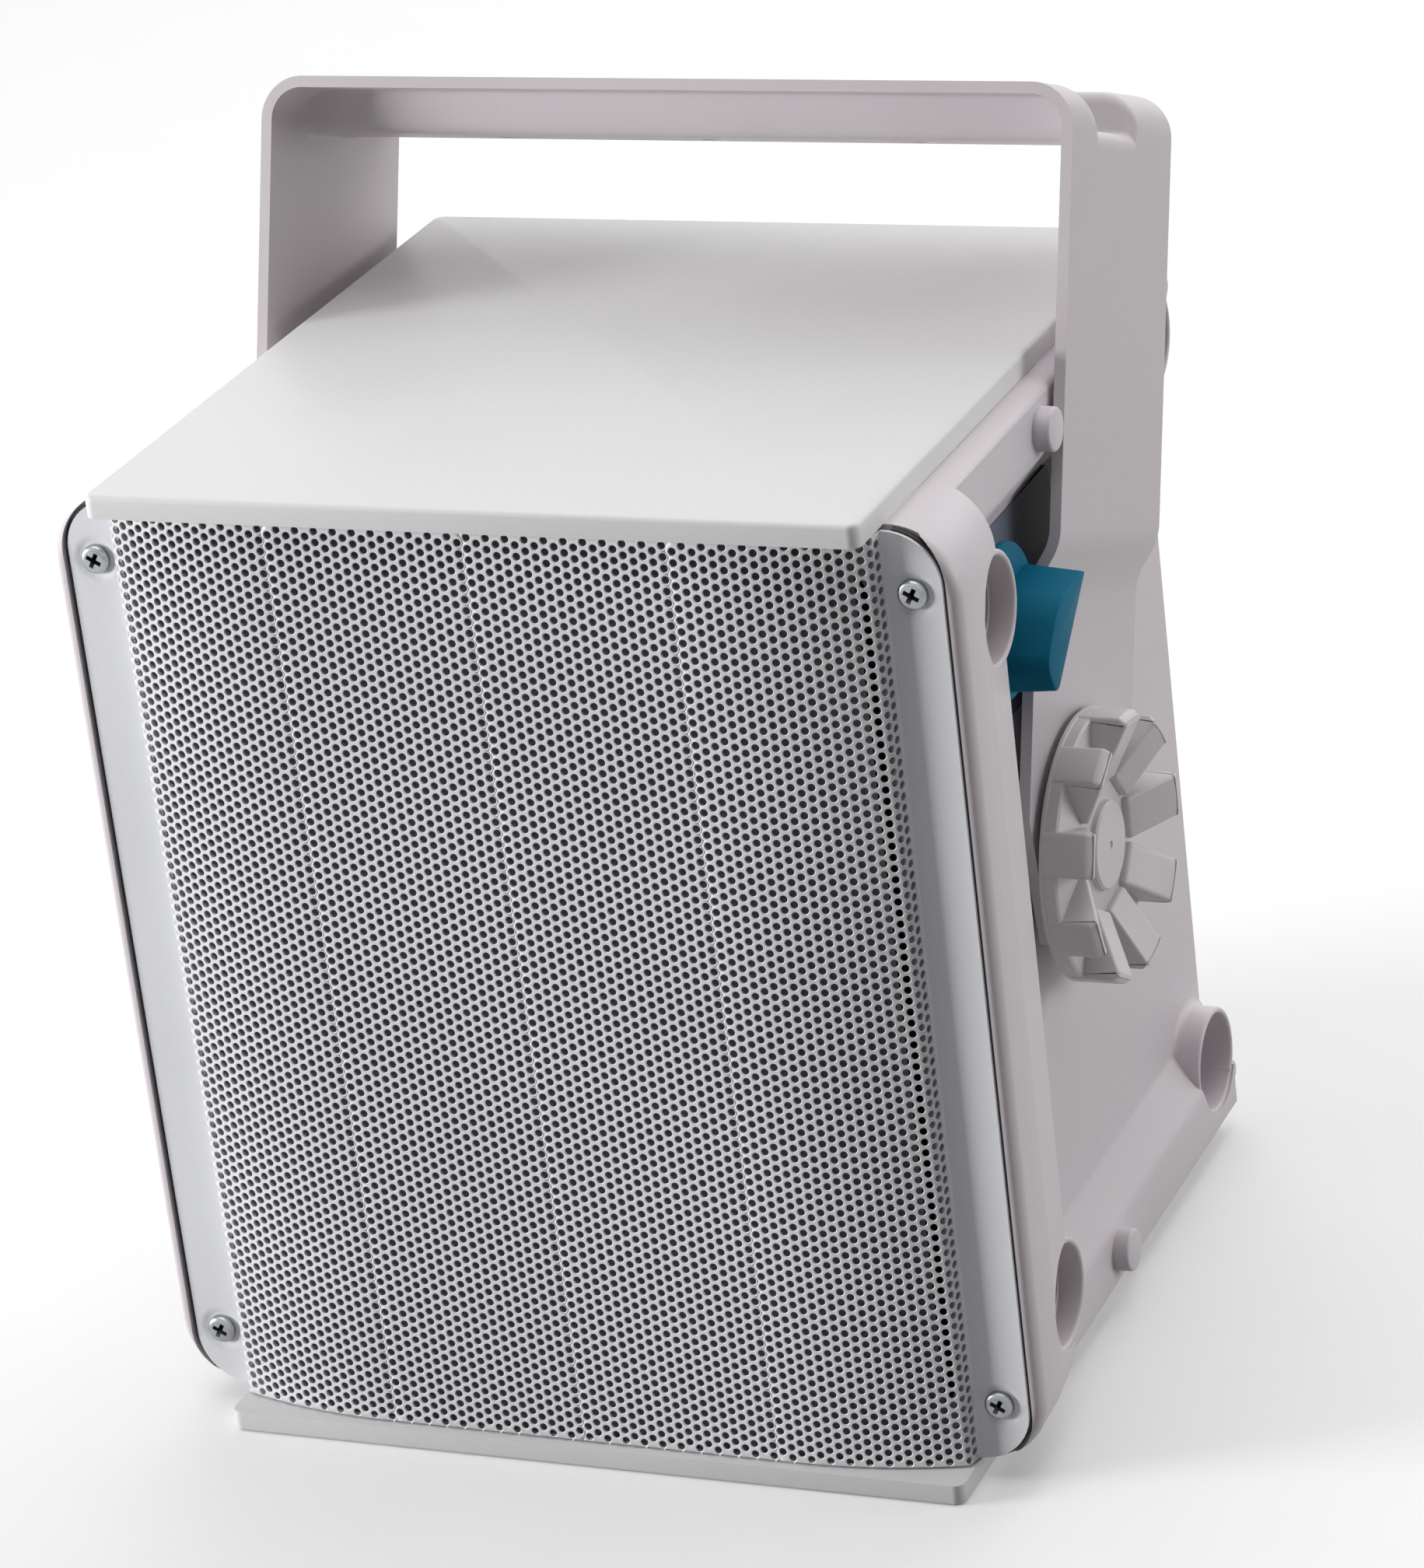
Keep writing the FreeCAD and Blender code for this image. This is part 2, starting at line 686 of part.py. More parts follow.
def back_screw_spots():
    return [(s * BACK_SCREW_X, MID + k * BACK_SCREW_RISE) for s in (-1, 1) for k in (-1, 0, 1)]


def make_rear_housing():
    low = PLATE_THICK
    high = CAB_HEIGHT - PLATE_THICK
    body = plan_block(rail_half, FRAME_REAR, PLATE_DEPTH, low, high)
    body = body.common(front_block(FRAME_REAR_HALF, INNER_HALF, FRAME_CORNER, FRAME_REAR, PLATE_DEPTH))
    side = rail_half(PLATE_DEPTH)
    long_edges = [e for e in body.Edges if e.BoundBox.YLength > RAIL_EDGE and abs(e.CenterOfMass.x) > side]
    body = body.makeChamfer(RAIL_EDGE, long_edges)
    lead = FRAME_REAR - CUT_PAST
    slope = RECESS_FLANK / RECESS_DEPTH
    over = CUT_PAST
    past = PLATE_DEPTH + CUT_PAST
    recess = frustum(
        (lead, past, RECESS_HALF_HEIGHT, -RECESS_DEPTH),
        (lead, past, RECESS_HALF_HEIGHT + (RECESS_DEPTH + over) * slope, over),
    )
    body = body.cut(both_sides(recess))

    def inside(depth):
        return panel_half(depth) - WALL_THICK

    cuts = [
        plan_block(inside, FRAME_REAR - CUT_PAST, BACK_LEDGE_FRONT, low - CUT_PAST, high + CUT_PAST),
        front_block(BACK_OPEN_HALF_WIDTH, BACK_OPEN_HALF_HEIGHT, 0, BACK_LEDGE_FRONT - CUT_PAST, PLATE_DEPTH),
        front_block(
            BACK_PANEL_HALF_WIDTH + BACK_PANEL_CLEAR,
            BACK_PANEL_HALF_HEIGHT + BACK_PANEL_CLEAR,
            0,
            BACK_PANEL_FRONT,
            PLATE_DEPTH + CUT_PAST,
        ),
    ]
    body = body.cut(cuts)

    adds = []
    holes = []
    boss = rod_x(BOSS_RADIUS, BOSS_FOOT, BOSS_FACE, PIVOT_Y, MID)
    adds += both_sides(boss)
    stud_bore = STUD_RADIUS + STUD_CLEAR
    holes += both_sides(rod_x(stud_bore, BOSS_FOOT - CUT_PAST, BOSS_FACE + CUT_PAST, PIVOT_Y, MID))
    for z in rows(PEG_RISE):
        peg = rod_x(PEG_RADIUS, rail_half(PIVOT_DEPTH) - PEG_ROOT, PEG_END, peg_y(), z)
        end = [e for e in peg.Edges if abs(e.BoundBox.XMin - PEG_END) < 1e-6]
        adds += both_sides(peg.makeChamfer(PEG_EDGE, end))
    for z in rows(REAR_CUP_RISE):
        y = at_depth(REAR_CUP_DEPTH)
        adds += both_sides(rod_x(REAR_CUP_OUTER, REAR_CUP_FOOT, REAR_CUP_RIM, y, z))
        holes += both_sides(rod_x(REAR_CUP_BORE, REAR_CUP_RIM - REAR_CUP_WELL, REAR_CUP_RIM + CUT_PAST, y, z))
    for z in rows(NUB_RISE):
        adds += both_sides(rod_x(NUB_RADIUS, NUB_FOOT, REAR_CUP_RIM, at_depth(NUB_DEPTH), z))
    for y, z in front_cups():
        clear = FRONT_CUP_OUTER + CUP_FLOOR_CLEAR
        holes += both_sides(rod_x(clear, FRONT_CUP_FOOT - CUP_FLOOR_CLEAR, FRAME_HALF, y, z))
    holes.append(rod_x(BUSHING_RADIUS + BUSHING_CLEAR, SHAFT_START, SELECTOR_TOP, selector_y(), selector_z()))
    for x, z in back_screw_spots():
        holes.append(rod_y(BACK_SCREW_SHANK + SCREW_CLEAR, BACK_LEDGE_FRONT - CUT_PAST, PLATE_DEPTH, x, z))
    return body.fuse(adds).cut(holes).removeSplitter()


def selector_y():
    return at_depth(SELECTOR_DEPTH)


def selector_z():
    return MID + SELECTOR_RISE


def make_label_plate():
    """Thin plate on the right recess panel, with a hole for the switch's bushing."""
    out = -RECESS_DEPTH
    pts = [
        side_point(LABEL_FRONT, out, MID + LABEL_LOW),
        side_point(LABEL_REAR, out, MID + LABEL_LOW),
        side_point(LABEL_REAR, out, MID + LABEL_HIGH),
        side_point(LABEL_FRONT, out, MID + LABEL_HIGH),
    ]
    body = Part.Face(Part.makePolygon(pts + [pts[0]])).extrude(V(LABEL_THICK, 0, 0))
    short = [e for e in body.Edges if e.Length < LABEL_THICK * 1.5]
    body = body.makeFillet(LABEL_CORNER, short)
    bore = BUSHING_RADIUS + BUSHING_CLEAR
    return body.cut(rod_x(bore, SHAFT_START, SELECTOR_TOP, selector_y(), selector_z()))


def make_back_panel():
    end = BACK_PANEL_FRONT + BACK_PANEL_THICK
    body = front_block(BACK_PANEL_HALF_WIDTH, BACK_PANEL_HALF_HEIGHT, 0, BACK_PANEL_FRONT, end)
    start = BACK_PANEL_FRONT - CUT_PAST
    holes = [rod_y(GLAND_RADIUS + GLAND_CLEAR, start, end + CUT_PAST, GLAND_X, MID + GLAND_RISE)]
    for x, z in back_screw_spots():
        holes.append(rod_y(BACK_SCREW_SHANK + SCREW_CLEAR, start, end + CUT_PAST, x, z))
    return body.cut(holes)


def make_back_screws():
    seat = BACK_PANEL_FRONT + BACK_PANEL_THICK
    parts = []
    for x, z in back_screw_spots():
        head = rod_y(BACK_SCREW_HEAD, seat, seat + BACK_SCREW_HEAD_THICK, x, z)
        parts.append(head.fuse(rod_y(BACK_SCREW_SHANK, seat - BACK_SCREW_LENGTH, seat, x, z)))
    return Part.makeCompound(parts)


def make_stud():
    head = rod_x(STUD_HEAD_RADIUS, BOSS_FOOT - STUD_HEAD_THICK, BOSS_FOOT, PIVOT_Y, MID)
    return head.fuse(rod_x(STUD_RADIUS, BOSS_FOOT, KNOB_BASE + STUD_ENGAGED, PIVOT_Y, MID))


def make_washer(radius, start, thick):
    ring = rod_x(radius, start, start + thick, PIVOT_Y, MID)
    return ring.cut(rod_x(STUD_RADIUS + STUD_CLEAR, start - CUT_PAST, start + thick + CUT_PAST, PIVOT_Y, MID))


def yoke_outline(thick_in):
    """Corners of one face of the bent strip in (x, reach); thick_in is 0 outside, 1 inside."""
    step = YOKE_ARM_OUTER - ARM_OUTER
    shift = YOKE_THICK * math.tan(math.atan2(step, YOKE_JOG_HIGH - YOKE_JOG_LOW) / 2) * thick_in
    low = ARM_OUTER - YOKE_THICK * thick_in
    high = YOKE_ARM_OUTER - YOKE_THICK * thick_in
    top = YOKE_REACH - YOKE_THICK * thick_in
    bend = YOKE_BEND - YOKE_THICK * thick_in
    foot = -YOKE_TOE_DROP - CUT_PAST
    right = [
        (low, foot),
        (low, YOKE_JOG_LOW + shift, YOKE_CORNER),
        (high, YOKE_JOG_HIGH + shift, YOKE_CORNER),
        (high, top, bend),
    ]
    return right + [(-c[0],) + c[1:] for c in reversed(right)]


def make_bracket():
    half = YOKE_HALF_WIDTH

    def strip_place(a, b):
        return V(a, PIVOT_Y - half, MID + b)

    outer = prism(yoke_outline(0), strip_place, V(0, 2 * half, 0))
    inner = prism(yoke_outline(1), strip_place, V(0, 2 * half, 0))
    body = outer.cut(inner)

    side = [
        (-half, YOKE_SHOULDER, YOKE_CORNER),
        (-YOKE_TOE_HALF, -YOKE_TOE_DROP, YOKE_CORNER),
        (YOKE_TOE_HALF, -YOKE_TOE_DROP, YOKE_CORNER),
        (half, YOKE_SHOULDER, YOKE_CORNER),
        (half, YOKE_REACH),
        (-half, YOKE_REACH),
    ]

    def side_place(a, b):
        return V(-YOKE_ARM_OUTER, PIVOT_Y + a, MID + b)

    body = body.common(prism(side, side_place, V(2 * YOKE_ARM_OUTER, 0, 0)))

    flange = [
        (half - YOKE_THICK, YOKE_REACH - YOKE_FLANGE_DEEP),
        (half, YOKE_REACH - YOKE_FLANGE_DEEP),
        (half, YOKE_REACH, YOKE_FLANGE_BEND),
        (half - 2 * YOKE_THICK, YOKE_REACH),
        (half - 2 * YOKE_THICK, YOKE_REACH - YOKE_THICK),
        (half - YOKE_THICK, YOKE_REACH - YOKE_THICK),
    ]
    web = YOKE_ARM_OUTER - YOKE_BEND

    def web_place(a, b):
        return V(-web, PIVOT_Y + a, MID + b)

    edge_cut = [
        (half + CUT_PAST, YOKE_REACH - YOKE_FLANGE_BEND),
        (half, YOKE_REACH - YOKE_FLANGE_BEND),
        (half - YOKE_FLANGE_BEND, YOKE_REACH),
        (half - YOKE_FLANGE_BEND, YOKE_REACH + CUT_PAST),
        (half + CUT_PAST, YOKE_REACH + CUT_PAST),
    ]
    body = body.cut(prism(edge_cut, web_place, V(2 * web, 0, 0)))
    body = body.fuse(prism(flange, web_place, V(2 * web, 0, 0)))
    inner_x = YOKE_ARM_OUTER - YOKE_THICK
    ends = Part.makeBox(
        YOKE_BEND,
        YOKE_THICK,
        YOKE_FLANGE_DEEP - YOKE_THICK,
        V(inner_x - YOKE_BEND + YOKE_THICK, PIVOT_Y + half - YOKE_THICK, MID + YOKE_REACH - YOKE_FLANGE_DEEP),
    )
    ends = ends.common(outer)
    body = body.fuse(both_sides(ends))

    darts = []
    pockets = []
    for shift, group in ((0.0, darts), (DART_SHIFT, pockets)):
        cx = inner_x + shift
        cz = MID + YOKE_REACH - YOKE_THICK + shift
        front = V(cx, PIVOT_Y - DART_FRONT + shift, cz)
        rear = V(cx, PIVOT_Y + DART_REAR - shift, cz)
        ridge_y = PIVOT_Y + (DART_REAR - DART_FRONT) / 2
        down = V(cx, ridge_y, cz - DART_LEG)
        along = V(cx - DART_LEG, ridge_y, cz)
        if shift:
            far = V(cx + 2 * YOKE_THICK, 0, cz + 2 * YOKE_THICK)
            front = V(far.x, front.y, far.z)
            rear = V(far.x, rear.y, far.z)
            down = V(far.x, ridge_y, cz - DART_LEG - 2 * YOKE_THICK)
            along = V(cx - DART_LEG - 2 * YOKE_THICK, ridge_y, far.z)
        group += both_sides(
            poly_solid([[front, down, along], [rear, along, down], [front, rear, down], [front, along, rear]])
        )
    body = body.fuse(darts).cut(pockets)
    bore = STUD_RADIUS + STUD_RUNNING_FIT
    holes = [rod_x(bore, -YOKE_ARM_OUTER, YOKE_ARM_OUTER, PIVOT_Y, MID)]
    for sign in (-1, 0, 1):
        foot = V(sign * FIXING_SPREAD, PIVOT_Y, MID + YOKE_REACH - 2 * YOKE_THICK)
        holes.append(Part.makeCylinder(FIXING_HOLE, 3 * YOKE_THICK, foot, Z_DIR))
    body = body.cut(holes).removeSplitter()
    body.rotate(V(0, PIVOT_Y, MID), X_DIR, -YOKE_LEAN)
    return body


def make_hand_knob():
    base = KNOB_BASE
    top = base + KNOB_HEIGHT
    hub_top = base + KNOB_HUB_RISE
    body = rod_x(KNOB_RADIUS, base, base + KNOB_DISC_THICK, PIVOT_Y, MID)
    body = body.fuse(rod_x(KNOB_HUB_RADIUS, base, hub_top, PIVOT_Y, MID))
    profile = [
        (KNOB_LOBE_START, base),
        (KNOB_RADIUS + CUT_PAST, base),
        (KNOB_RADIUS + CUT_PAST, top),
        (KNOB_RADIUS - KNOB_LOBE_LAND, top),
        (KNOB_LOBE_START, base + KNOB_LOBE_START_RISE),
    ]
    half = KNOB_LOBE_WIDTH / 2

    def lobe_place(a, b):
        return V(b, PIVOT_Y + a, MID - half)

    lobe = prism(profile, lobe_place, V(0, 0, 2 * half))
    lobes = []
    for k in range(KNOB_LOBES):
        turned = lobe.copy()
        turned.rotate(V(0, PIVOT_Y, MID), X_DIR, 360.0 * k / KNOB_LOBES)
        lobes.append(turned)
    ease = KNOB_LOBE_EASE
    envelope = rod_x(KNOB_RADIUS, base, top - ease, PIVOT_Y, MID).fuse(
        Part.makeCone(KNOB_RADIUS, KNOB_RADIUS - ease, ease, V(top - ease, PIVOT_Y, MID), X_DIR)
    )
    body = body.fuse(lobes).common(envelope)
    pocket = rod_x(INSERT_RADIUS, base - CUT_PAST, base + INSERT_LENGTH, PIVOT_Y, MID)
    return body.cut(pocket).removeSplitter()


def make_insert():
    body = rod_x(INSERT_RADIUS, KNOB_BASE, KNOB_BASE + INSERT_LENGTH, PIVOT_Y, MID)
    bore = STUD_RADIUS + STUD_RUNNING_FIT
    return body.cut(rod_x(bore, KNOB_BASE - CUT_PAST, KNOB_BASE + INSERT_LENGTH + CUT_PAST, PIVOT_Y, MID))


def make_selector_knob():
    y = selector_y()
    z = selector_z()
    skirt_low = SELECTOR_SKIRT_TOP - SELECTOR_SKIRT_THICK
    skirt = rod_x(SELECTOR_SKIRT_RADIUS, skirt_low, SELECTOR_SKIRT_TOP, y, z)
    grip = [
        (GRIP_TIP, -GRIP_FLAT, GRIP_TIP_ROUND),
        (GRIP_CROWN, GRIP_CROWN_OUT, GRIP_CROWN_ROUND),
        (-GRIP_HEEL, GRIP_HEEL_OUT, GRIP_HEEL_ROUND),
        (-GRIP_TAIL, -GRIP_FLAT, GRIP_TAIL_ROUND),
    ]

    def grip_place(a, b):
        return V(skirt_low, y + a, z + b)

    body = prism(grip, grip_place, V(SELECTOR_TOP - skirt_low, 0, 0))
    crown = [e for e in body.Edges if abs(e.BoundBox.XMin - SELECTOR_TOP) < 1e-6]
    body = body.makeChamfer(GRIP_EDGE, crown)
    body.rotate(V(0, y, z), X_DIR, SELECTOR_TURN)
    return skirt.fuse(body).cut(rod_x(SHAFT_RADIUS, skirt_low - CUT_PAST, SHAFT_END, y, z)).removeSplitter()


def make_selector_shaft():
    return rod_x(SHAFT_RADIUS, SHAFT_START, SHAFT_END, selector_y(), selector_z())


def make_selector_switch():
    y = selector_y()
    z = selector_z()
    wall = panel_half(SELECTOR_DEPTH + SWITCH_SIZE / 2) - WALL_THICK
    half = SWITCH_SIZE / 2
    deck = box_corners(half, half, SWITCH_CORNER, y, z)
    back = wall - BUSHING_CLEAR
    body = prism(deck, upright(back - SWITCH_THICK), V(SWITCH_THICK, 0, 0))
    bushing_end = SELECTOR_SKIRT_TOP - SELECTOR_SKIRT_THICK - BUSHING_GAP
    body = body.fuse(rod_x(BUSHING_RADIUS, back, bushing_end, y, z))
    return body.cut(rod_x(SHAFT_RADIUS + SHAFT_RUNNING_FIT, SHAFT_START - CUT_PAST, SELECTOR_TOP, y, z))


def driver_place(a, b):
    """Profile plane of the driver: radius along X, depth along Y."""
    return V(a, at_depth(b), MID)


def driver_spun(corners):
    return spun(corners, driver_place, V(0, 0, MID), Y_DIR)


def make_baffle():
    end = BAFFLE_FRONT + BAFFLE_THICK
    body = front_block(BAFFLE_HALF_WIDTH, BAFFLE_HALF_HEIGHT, 0, BAFFLE_FRONT, end)
    holes = [rod_y(BAFFLE_HOLE, BAFFLE_FRONT - CUT_PAST, end + CUT_PAST, 0, MID)]
    for x, z in driver_screw_spots():
        holes.append(rod_y(BACK_SCREW_SHANK + SCREW_CLEAR, BAFFLE_FRONT - CUT_PAST, end + CUT_PAST, x, z))
    return body.cut(holes)


def driver_screw_spots():
    spots = []
    for k in range(DRIVER_SCREWS):
        turn = 2 * math.pi * (k + 0.5) / DRIVER_SCREWS
        spots.append((DRIVER_SCREW_CIRCLE * math.cos(turn), MID + DRIVER_SCREW_CIRCLE * math.sin(turn)))
    return spots


def make_basket():
    front = DRIVER_FRONT
    skin = BASKET_SKIN
    profile = [
        (BASKET_MOUTH - BASKET_LIP, front),
        (DRIVER_FLANGE_RADIUS, front),
        (DRIVER_FLANGE_RADIUS, DRIVER_SEAT),
        (BASKET_MOUTH + skin, DRIVER_SEAT),
        (BASKET_NECK + skin, BASKET_BACK),
        (COIL_RADIUS + BASKET_BACK_GAP, BASKET_BACK),
        (COIL_RADIUS + BASKET_BACK_GAP, BASKET_BACK - skin),
        (BASKET_NECK, BASKET_BACK - skin),
        (BASKET_MOUTH - BASKET_LIP, DRIVER_SEAT),
    ]
    shelf = SPIDER_DEPTH + SPIDER_WALL
    slope = (BASKET_MOUTH - BASKET_NECK) / BASKET_LENGTH
    body = driver_spun(profile).fuse(driver_spun([
        (SPIDER_RADIUS, shelf),
        (BASKET_MOUTH - slope * (shelf - DRIVER_SEAT), shelf),
        (BASKET_MOUTH - slope * (shelf + skin - DRIVER_SEAT), shelf + skin),
        (SPIDER_RADIUS, shelf + skin),
    ]))
    cuts = []
    window = Part.makeBox(
        BASKET_WINDOW_WIDTH,
        BASKET_LENGTH * 0.55,
        BASKET_MOUTH,
        V(-BASKET_WINDOW_WIDTH / 2, at_depth(DRIVER_SEAT + BASKET_LENGTH * 0.25), MID + BASKET_NECK * 0.6),
    )
    for k in range(BASKET_WINDOWS):
        turned = window.copy()
        turned.rotate(V(0, 0, MID), Y_DIR, 360.0 * k / BASKET_WINDOWS)
        cuts.append(turned)
    for x, z in driver_screw_spots():
        cuts.append(rod_y(BACK_SCREW_SHANK + SCREW_CLEAR, front - CUT_PAST, DRIVER_SEAT + CUT_PAST, x, z))
    return body.cut(cuts)


def make_driver_screws():
    seat = DRIVER_FRONT
    parts = []
    for x, z in driver_screw_spots():
        head = rod_y(DRIVER_SCREW_HEAD, seat - DRIVER_SCREW_HEAD_THICK, seat, x, z)
        parts.append(head.fuse(rod_y(BACK_SCREW_SHANK, seat, seat + DRIVER_SCREW_LENGTH, x, z)))
    return Part.makeCompound(parts)


def make_gap_plate():
    return driver_spun([
        (GAP_RADIUS, BASKET_BACK),
        (GAP_PLATE_RADIUS, BASKET_BACK),
        (GAP_PLATE_RADIUS, GAP_PLATE_BACK),
        (GAP_RADIUS, GAP_PLATE_BACK),
    ])


def make_magnet():
    return driver_spun([
        (MAGNET_BORE, GAP_PLATE_BACK),
        (MAGNET_RADIUS, GAP_PLATE_BACK),
        (MAGNET_RADIUS, MAGNET_BACK),
        (MAGNET_BORE, MAGNET_BACK),
    ])


def make_pole_plate():
    end = MAGNET_BACK + YOKE_PLATE_THICK
    return driver_spun([
        (0.0, BASKET_BACK),
        (POLE_RADIUS, BASKET_BACK),
        (POLE_RADIUS, MAGNET_BACK),
        (YOKE_PLATE_RADIUS, MAGNET_BACK),
        (YOKE_PLATE_RADIUS, end),
        (0.0, end),
    ])


def cone_back():
    return DRIVER_SEAT + CONE_DEPTH


def cone_neck():
    return COIL_RADIUS + COIL_WALL + SCREW_CLEAR


def make_voice_coil():
    end = BASKET_BACK + GAP_PLATE_THICK
    return driver_spun([
        (COIL_RADIUS, end - COIL_LENGTH),
        (COIL_RADIUS + COIL_WALL, end - COIL_LENGTH),
        (COIL_RADIUS + COIL_WALL, end),
        (COIL_RADIUS, end),
    ])


def make_cone():
    neck = cone_neck()
    lip = DRIVER_FRONT
    return driver_spun([
        (neck, cone_back()),
        (CONE_MOUTH, lip),
        (CONE_MOUTH + CONE_LIP, lip),
        (CONE_MOUTH + CONE_LIP, lip + CONE_WALL),
        (CONE_MOUTH + CONE_WALL / 2, lip + CONE_WALL),
        (neck, cone_back() + 1.2 * CONE_WALL),
    ])


def make_surround():
    """Half roll between the cone's lip and the basket's flange."""
    lip = DRIVER_FRONT
    mid = CONE_MOUTH + ROLL_INNER_LAND + ROLL_RADIUS
    steps = 6
    outer = []
    inner = []
    for k in range(steps + 1):
        turn = math.pi * k / steps
        for group, radius in ((outer, ROLL_RADIUS), (inner, ROLL_RADIUS - ROLL_WALL)):
            group.append((mid - radius * math.cos(turn), lip - ROLL_WALL - radius * math.sin(turn)))
    rim = mid + ROLL_RADIUS + ROLL_LANDING
    path = [(CONE_MOUTH, lip - ROLL_WALL)] + outer
    path.append((rim, lip - ROLL_WALL))
    path.append((rim, lip))
    path.append((mid + ROLL_RADIUS - ROLL_WALL, lip))
    back = [(mid + ROLL_RADIUS - ROLL_WALL, lip - ROLL_WALL)] + list(reversed(inner))[1:]
    path += back
    path.append((mid - ROLL_RADIUS + ROLL_WALL, lip))
    path.append((CONE_MOUTH, lip))
    clean = []
    for p in path:
        if not clean or math.hypot(p[0] - clean[-1][0], p[1] - clean[-1][1]) > 1e-6:
            clean.append(p)
    return driver_spun(clean)


def make_spider():
    """Corrugated ring between the coil and the basket."""
    neck = cone_neck()
    place = SPIDER_DEPTH
    folds = 6
    front = []
    for k in range(folds + 1):
        r = neck + (SPIDER_RADIUS - neck) * k / folds
        front.append((r, place - (SPIDER_FOLD if k % 2 else 0.0)))
    front.append((SPIDER_RADIUS + SPIDER_LANDING, place))
    back = [(r, y + SPIDER_WALL) for r, y in reversed(front)]
    return driver_spun(front + back)


def make_dust_cap():
    """Dome closing the cone's middle."""
    slope = (cone_back() - DRIVER_FRONT) / (CONE_MOUTH - cone_neck())
    base = cone_back() - (CAP_RADIUS - cone_neck()) * slope
    steps = 4
    outer = []
    inner = []
    for k in range(steps + 1):
        t = k / steps
        fall = CAP_RISE * math.cos(t * math.pi / 2)
        outer.append((CAP_RADIUS * math.sin(t * math.pi / 2), base - fall))
        inset = (CAP_RADIUS - CAP_WALL) * math.sin(t * math.pi / 2)
        inner.append((inset, base - fall * 0.9 + CAP_WALL * (1 - t)))
    inner[-1] = (CAP_RADIUS - CAP_WALL, base)
    return driver_spun(outer + list(reversed(inner)))


def make_transformer_core():
    low = PLATE_THICK
    y = at_depth(CORE_DEPTH)
    foot = V(CORE_X - CORE_WIDTH / 2, y - CORE_STACK / 2, low)
    body = Part.makeBox(CORE_WIDTH, CORE_STACK, CORE_HEIGHT, foot)
    gap = (CORE_WIDTH - 4 * CORE_LEG) / 2
    cuts = []
    for start in (CORE_LEG, CORE_LEG + gap + 2 * CORE_LEG):
        corner = V(CORE_X - CORE_WIDTH / 2 + start, y - CORE_STACK, low + CORE_LEG)
        cuts.append(Part.makeBox(gap, 2 * CORE_STACK, CORE_HEIGHT - 2 * CORE_LEG, corner))
    return body.cut(cuts)


def make_transformer_winding():
    y = at_depth(CORE_DEPTH)
    gap = (CORE_WIDTH - 4 * CORE_LEG) / 2
    half_w = CORE_LEG + gap - WINDING_CLEAR
    half_d = CORE_STACK / 2 + WINDING_OVERHANG
    low = PLATE_THICK + CORE_LEG + WINDING_CLEAR
    tall = CORE_HEIGHT - 2 * CORE_LEG - 2 * WINDING_CLEAR
    body = prism(box_corners(half_w, half_d, WINDING_CORNER, CORE_X, y), level(low), V(0, 0, tall))
    bore = box_corners(CORE_LEG + WINDING_CLEAR, CORE_STACK / 2 + WINDING_CLEAR, 0, CORE_X, y)
    return body.cut(prism(bore, level(low - CUT_PAST), V(0, 0, tall + 2 * CUT_PAST)))


def make_terminal_block():
    y = at_depth(BACK_PANEL_FRONT)
    z = MID + TERMINAL_RISE
    corner = V(-TERMINAL_WIDTH / 2, y - TERMINAL_THICK, z - TERMINAL_HEIGHT / 2)
    body = Part.makeBox(TERMINAL_WIDTH, TERMINAL_THICK, TERMINAL_HEIGHT, corner)
    cuts = []
    for k in range(TERMINAL_WAYS):
        x = TERMINAL_WIDTH * ((k + 0.5) / TERMINAL_WAYS - 0.5)
        cuts.append(Part.makeCylinder(TERMINAL_HOLE, TERMINAL_THICK / 2, V(x, y - TERMINAL_THICK, z), Y_DIR))
    return body.cut(cuts)


def make_gland():
    z = MID + GLAND_RISE
    seat = BACK_PANEL_FRONT + BACK_PANEL_THICK
    body = rod_y(GLAND_HEAD_RADIUS, seat, seat + GLAND_HEAD_THICK, GLAND_X, z)
    body = body.fuse(rod_y(GLAND_RADIUS, BACK_PANEL_FRONT, seat, GLAND_X, z))
    nut = rod_y(GLAND_HEAD_RADIUS, BACK_PANEL_FRONT - GLAND_NUT_THICK, BACK_PANEL_FRONT, GLAND_X, z)
    body = body.fuse(nut)
    start = BACK_PANEL_FRONT - GLAND_NUT_THICK - CUT_PAST
    return body.cut(rod_y(GLAND_BORE, start, seat + GLAND_HEAD_THICK + CUT_PAST, GLAND_X, z))


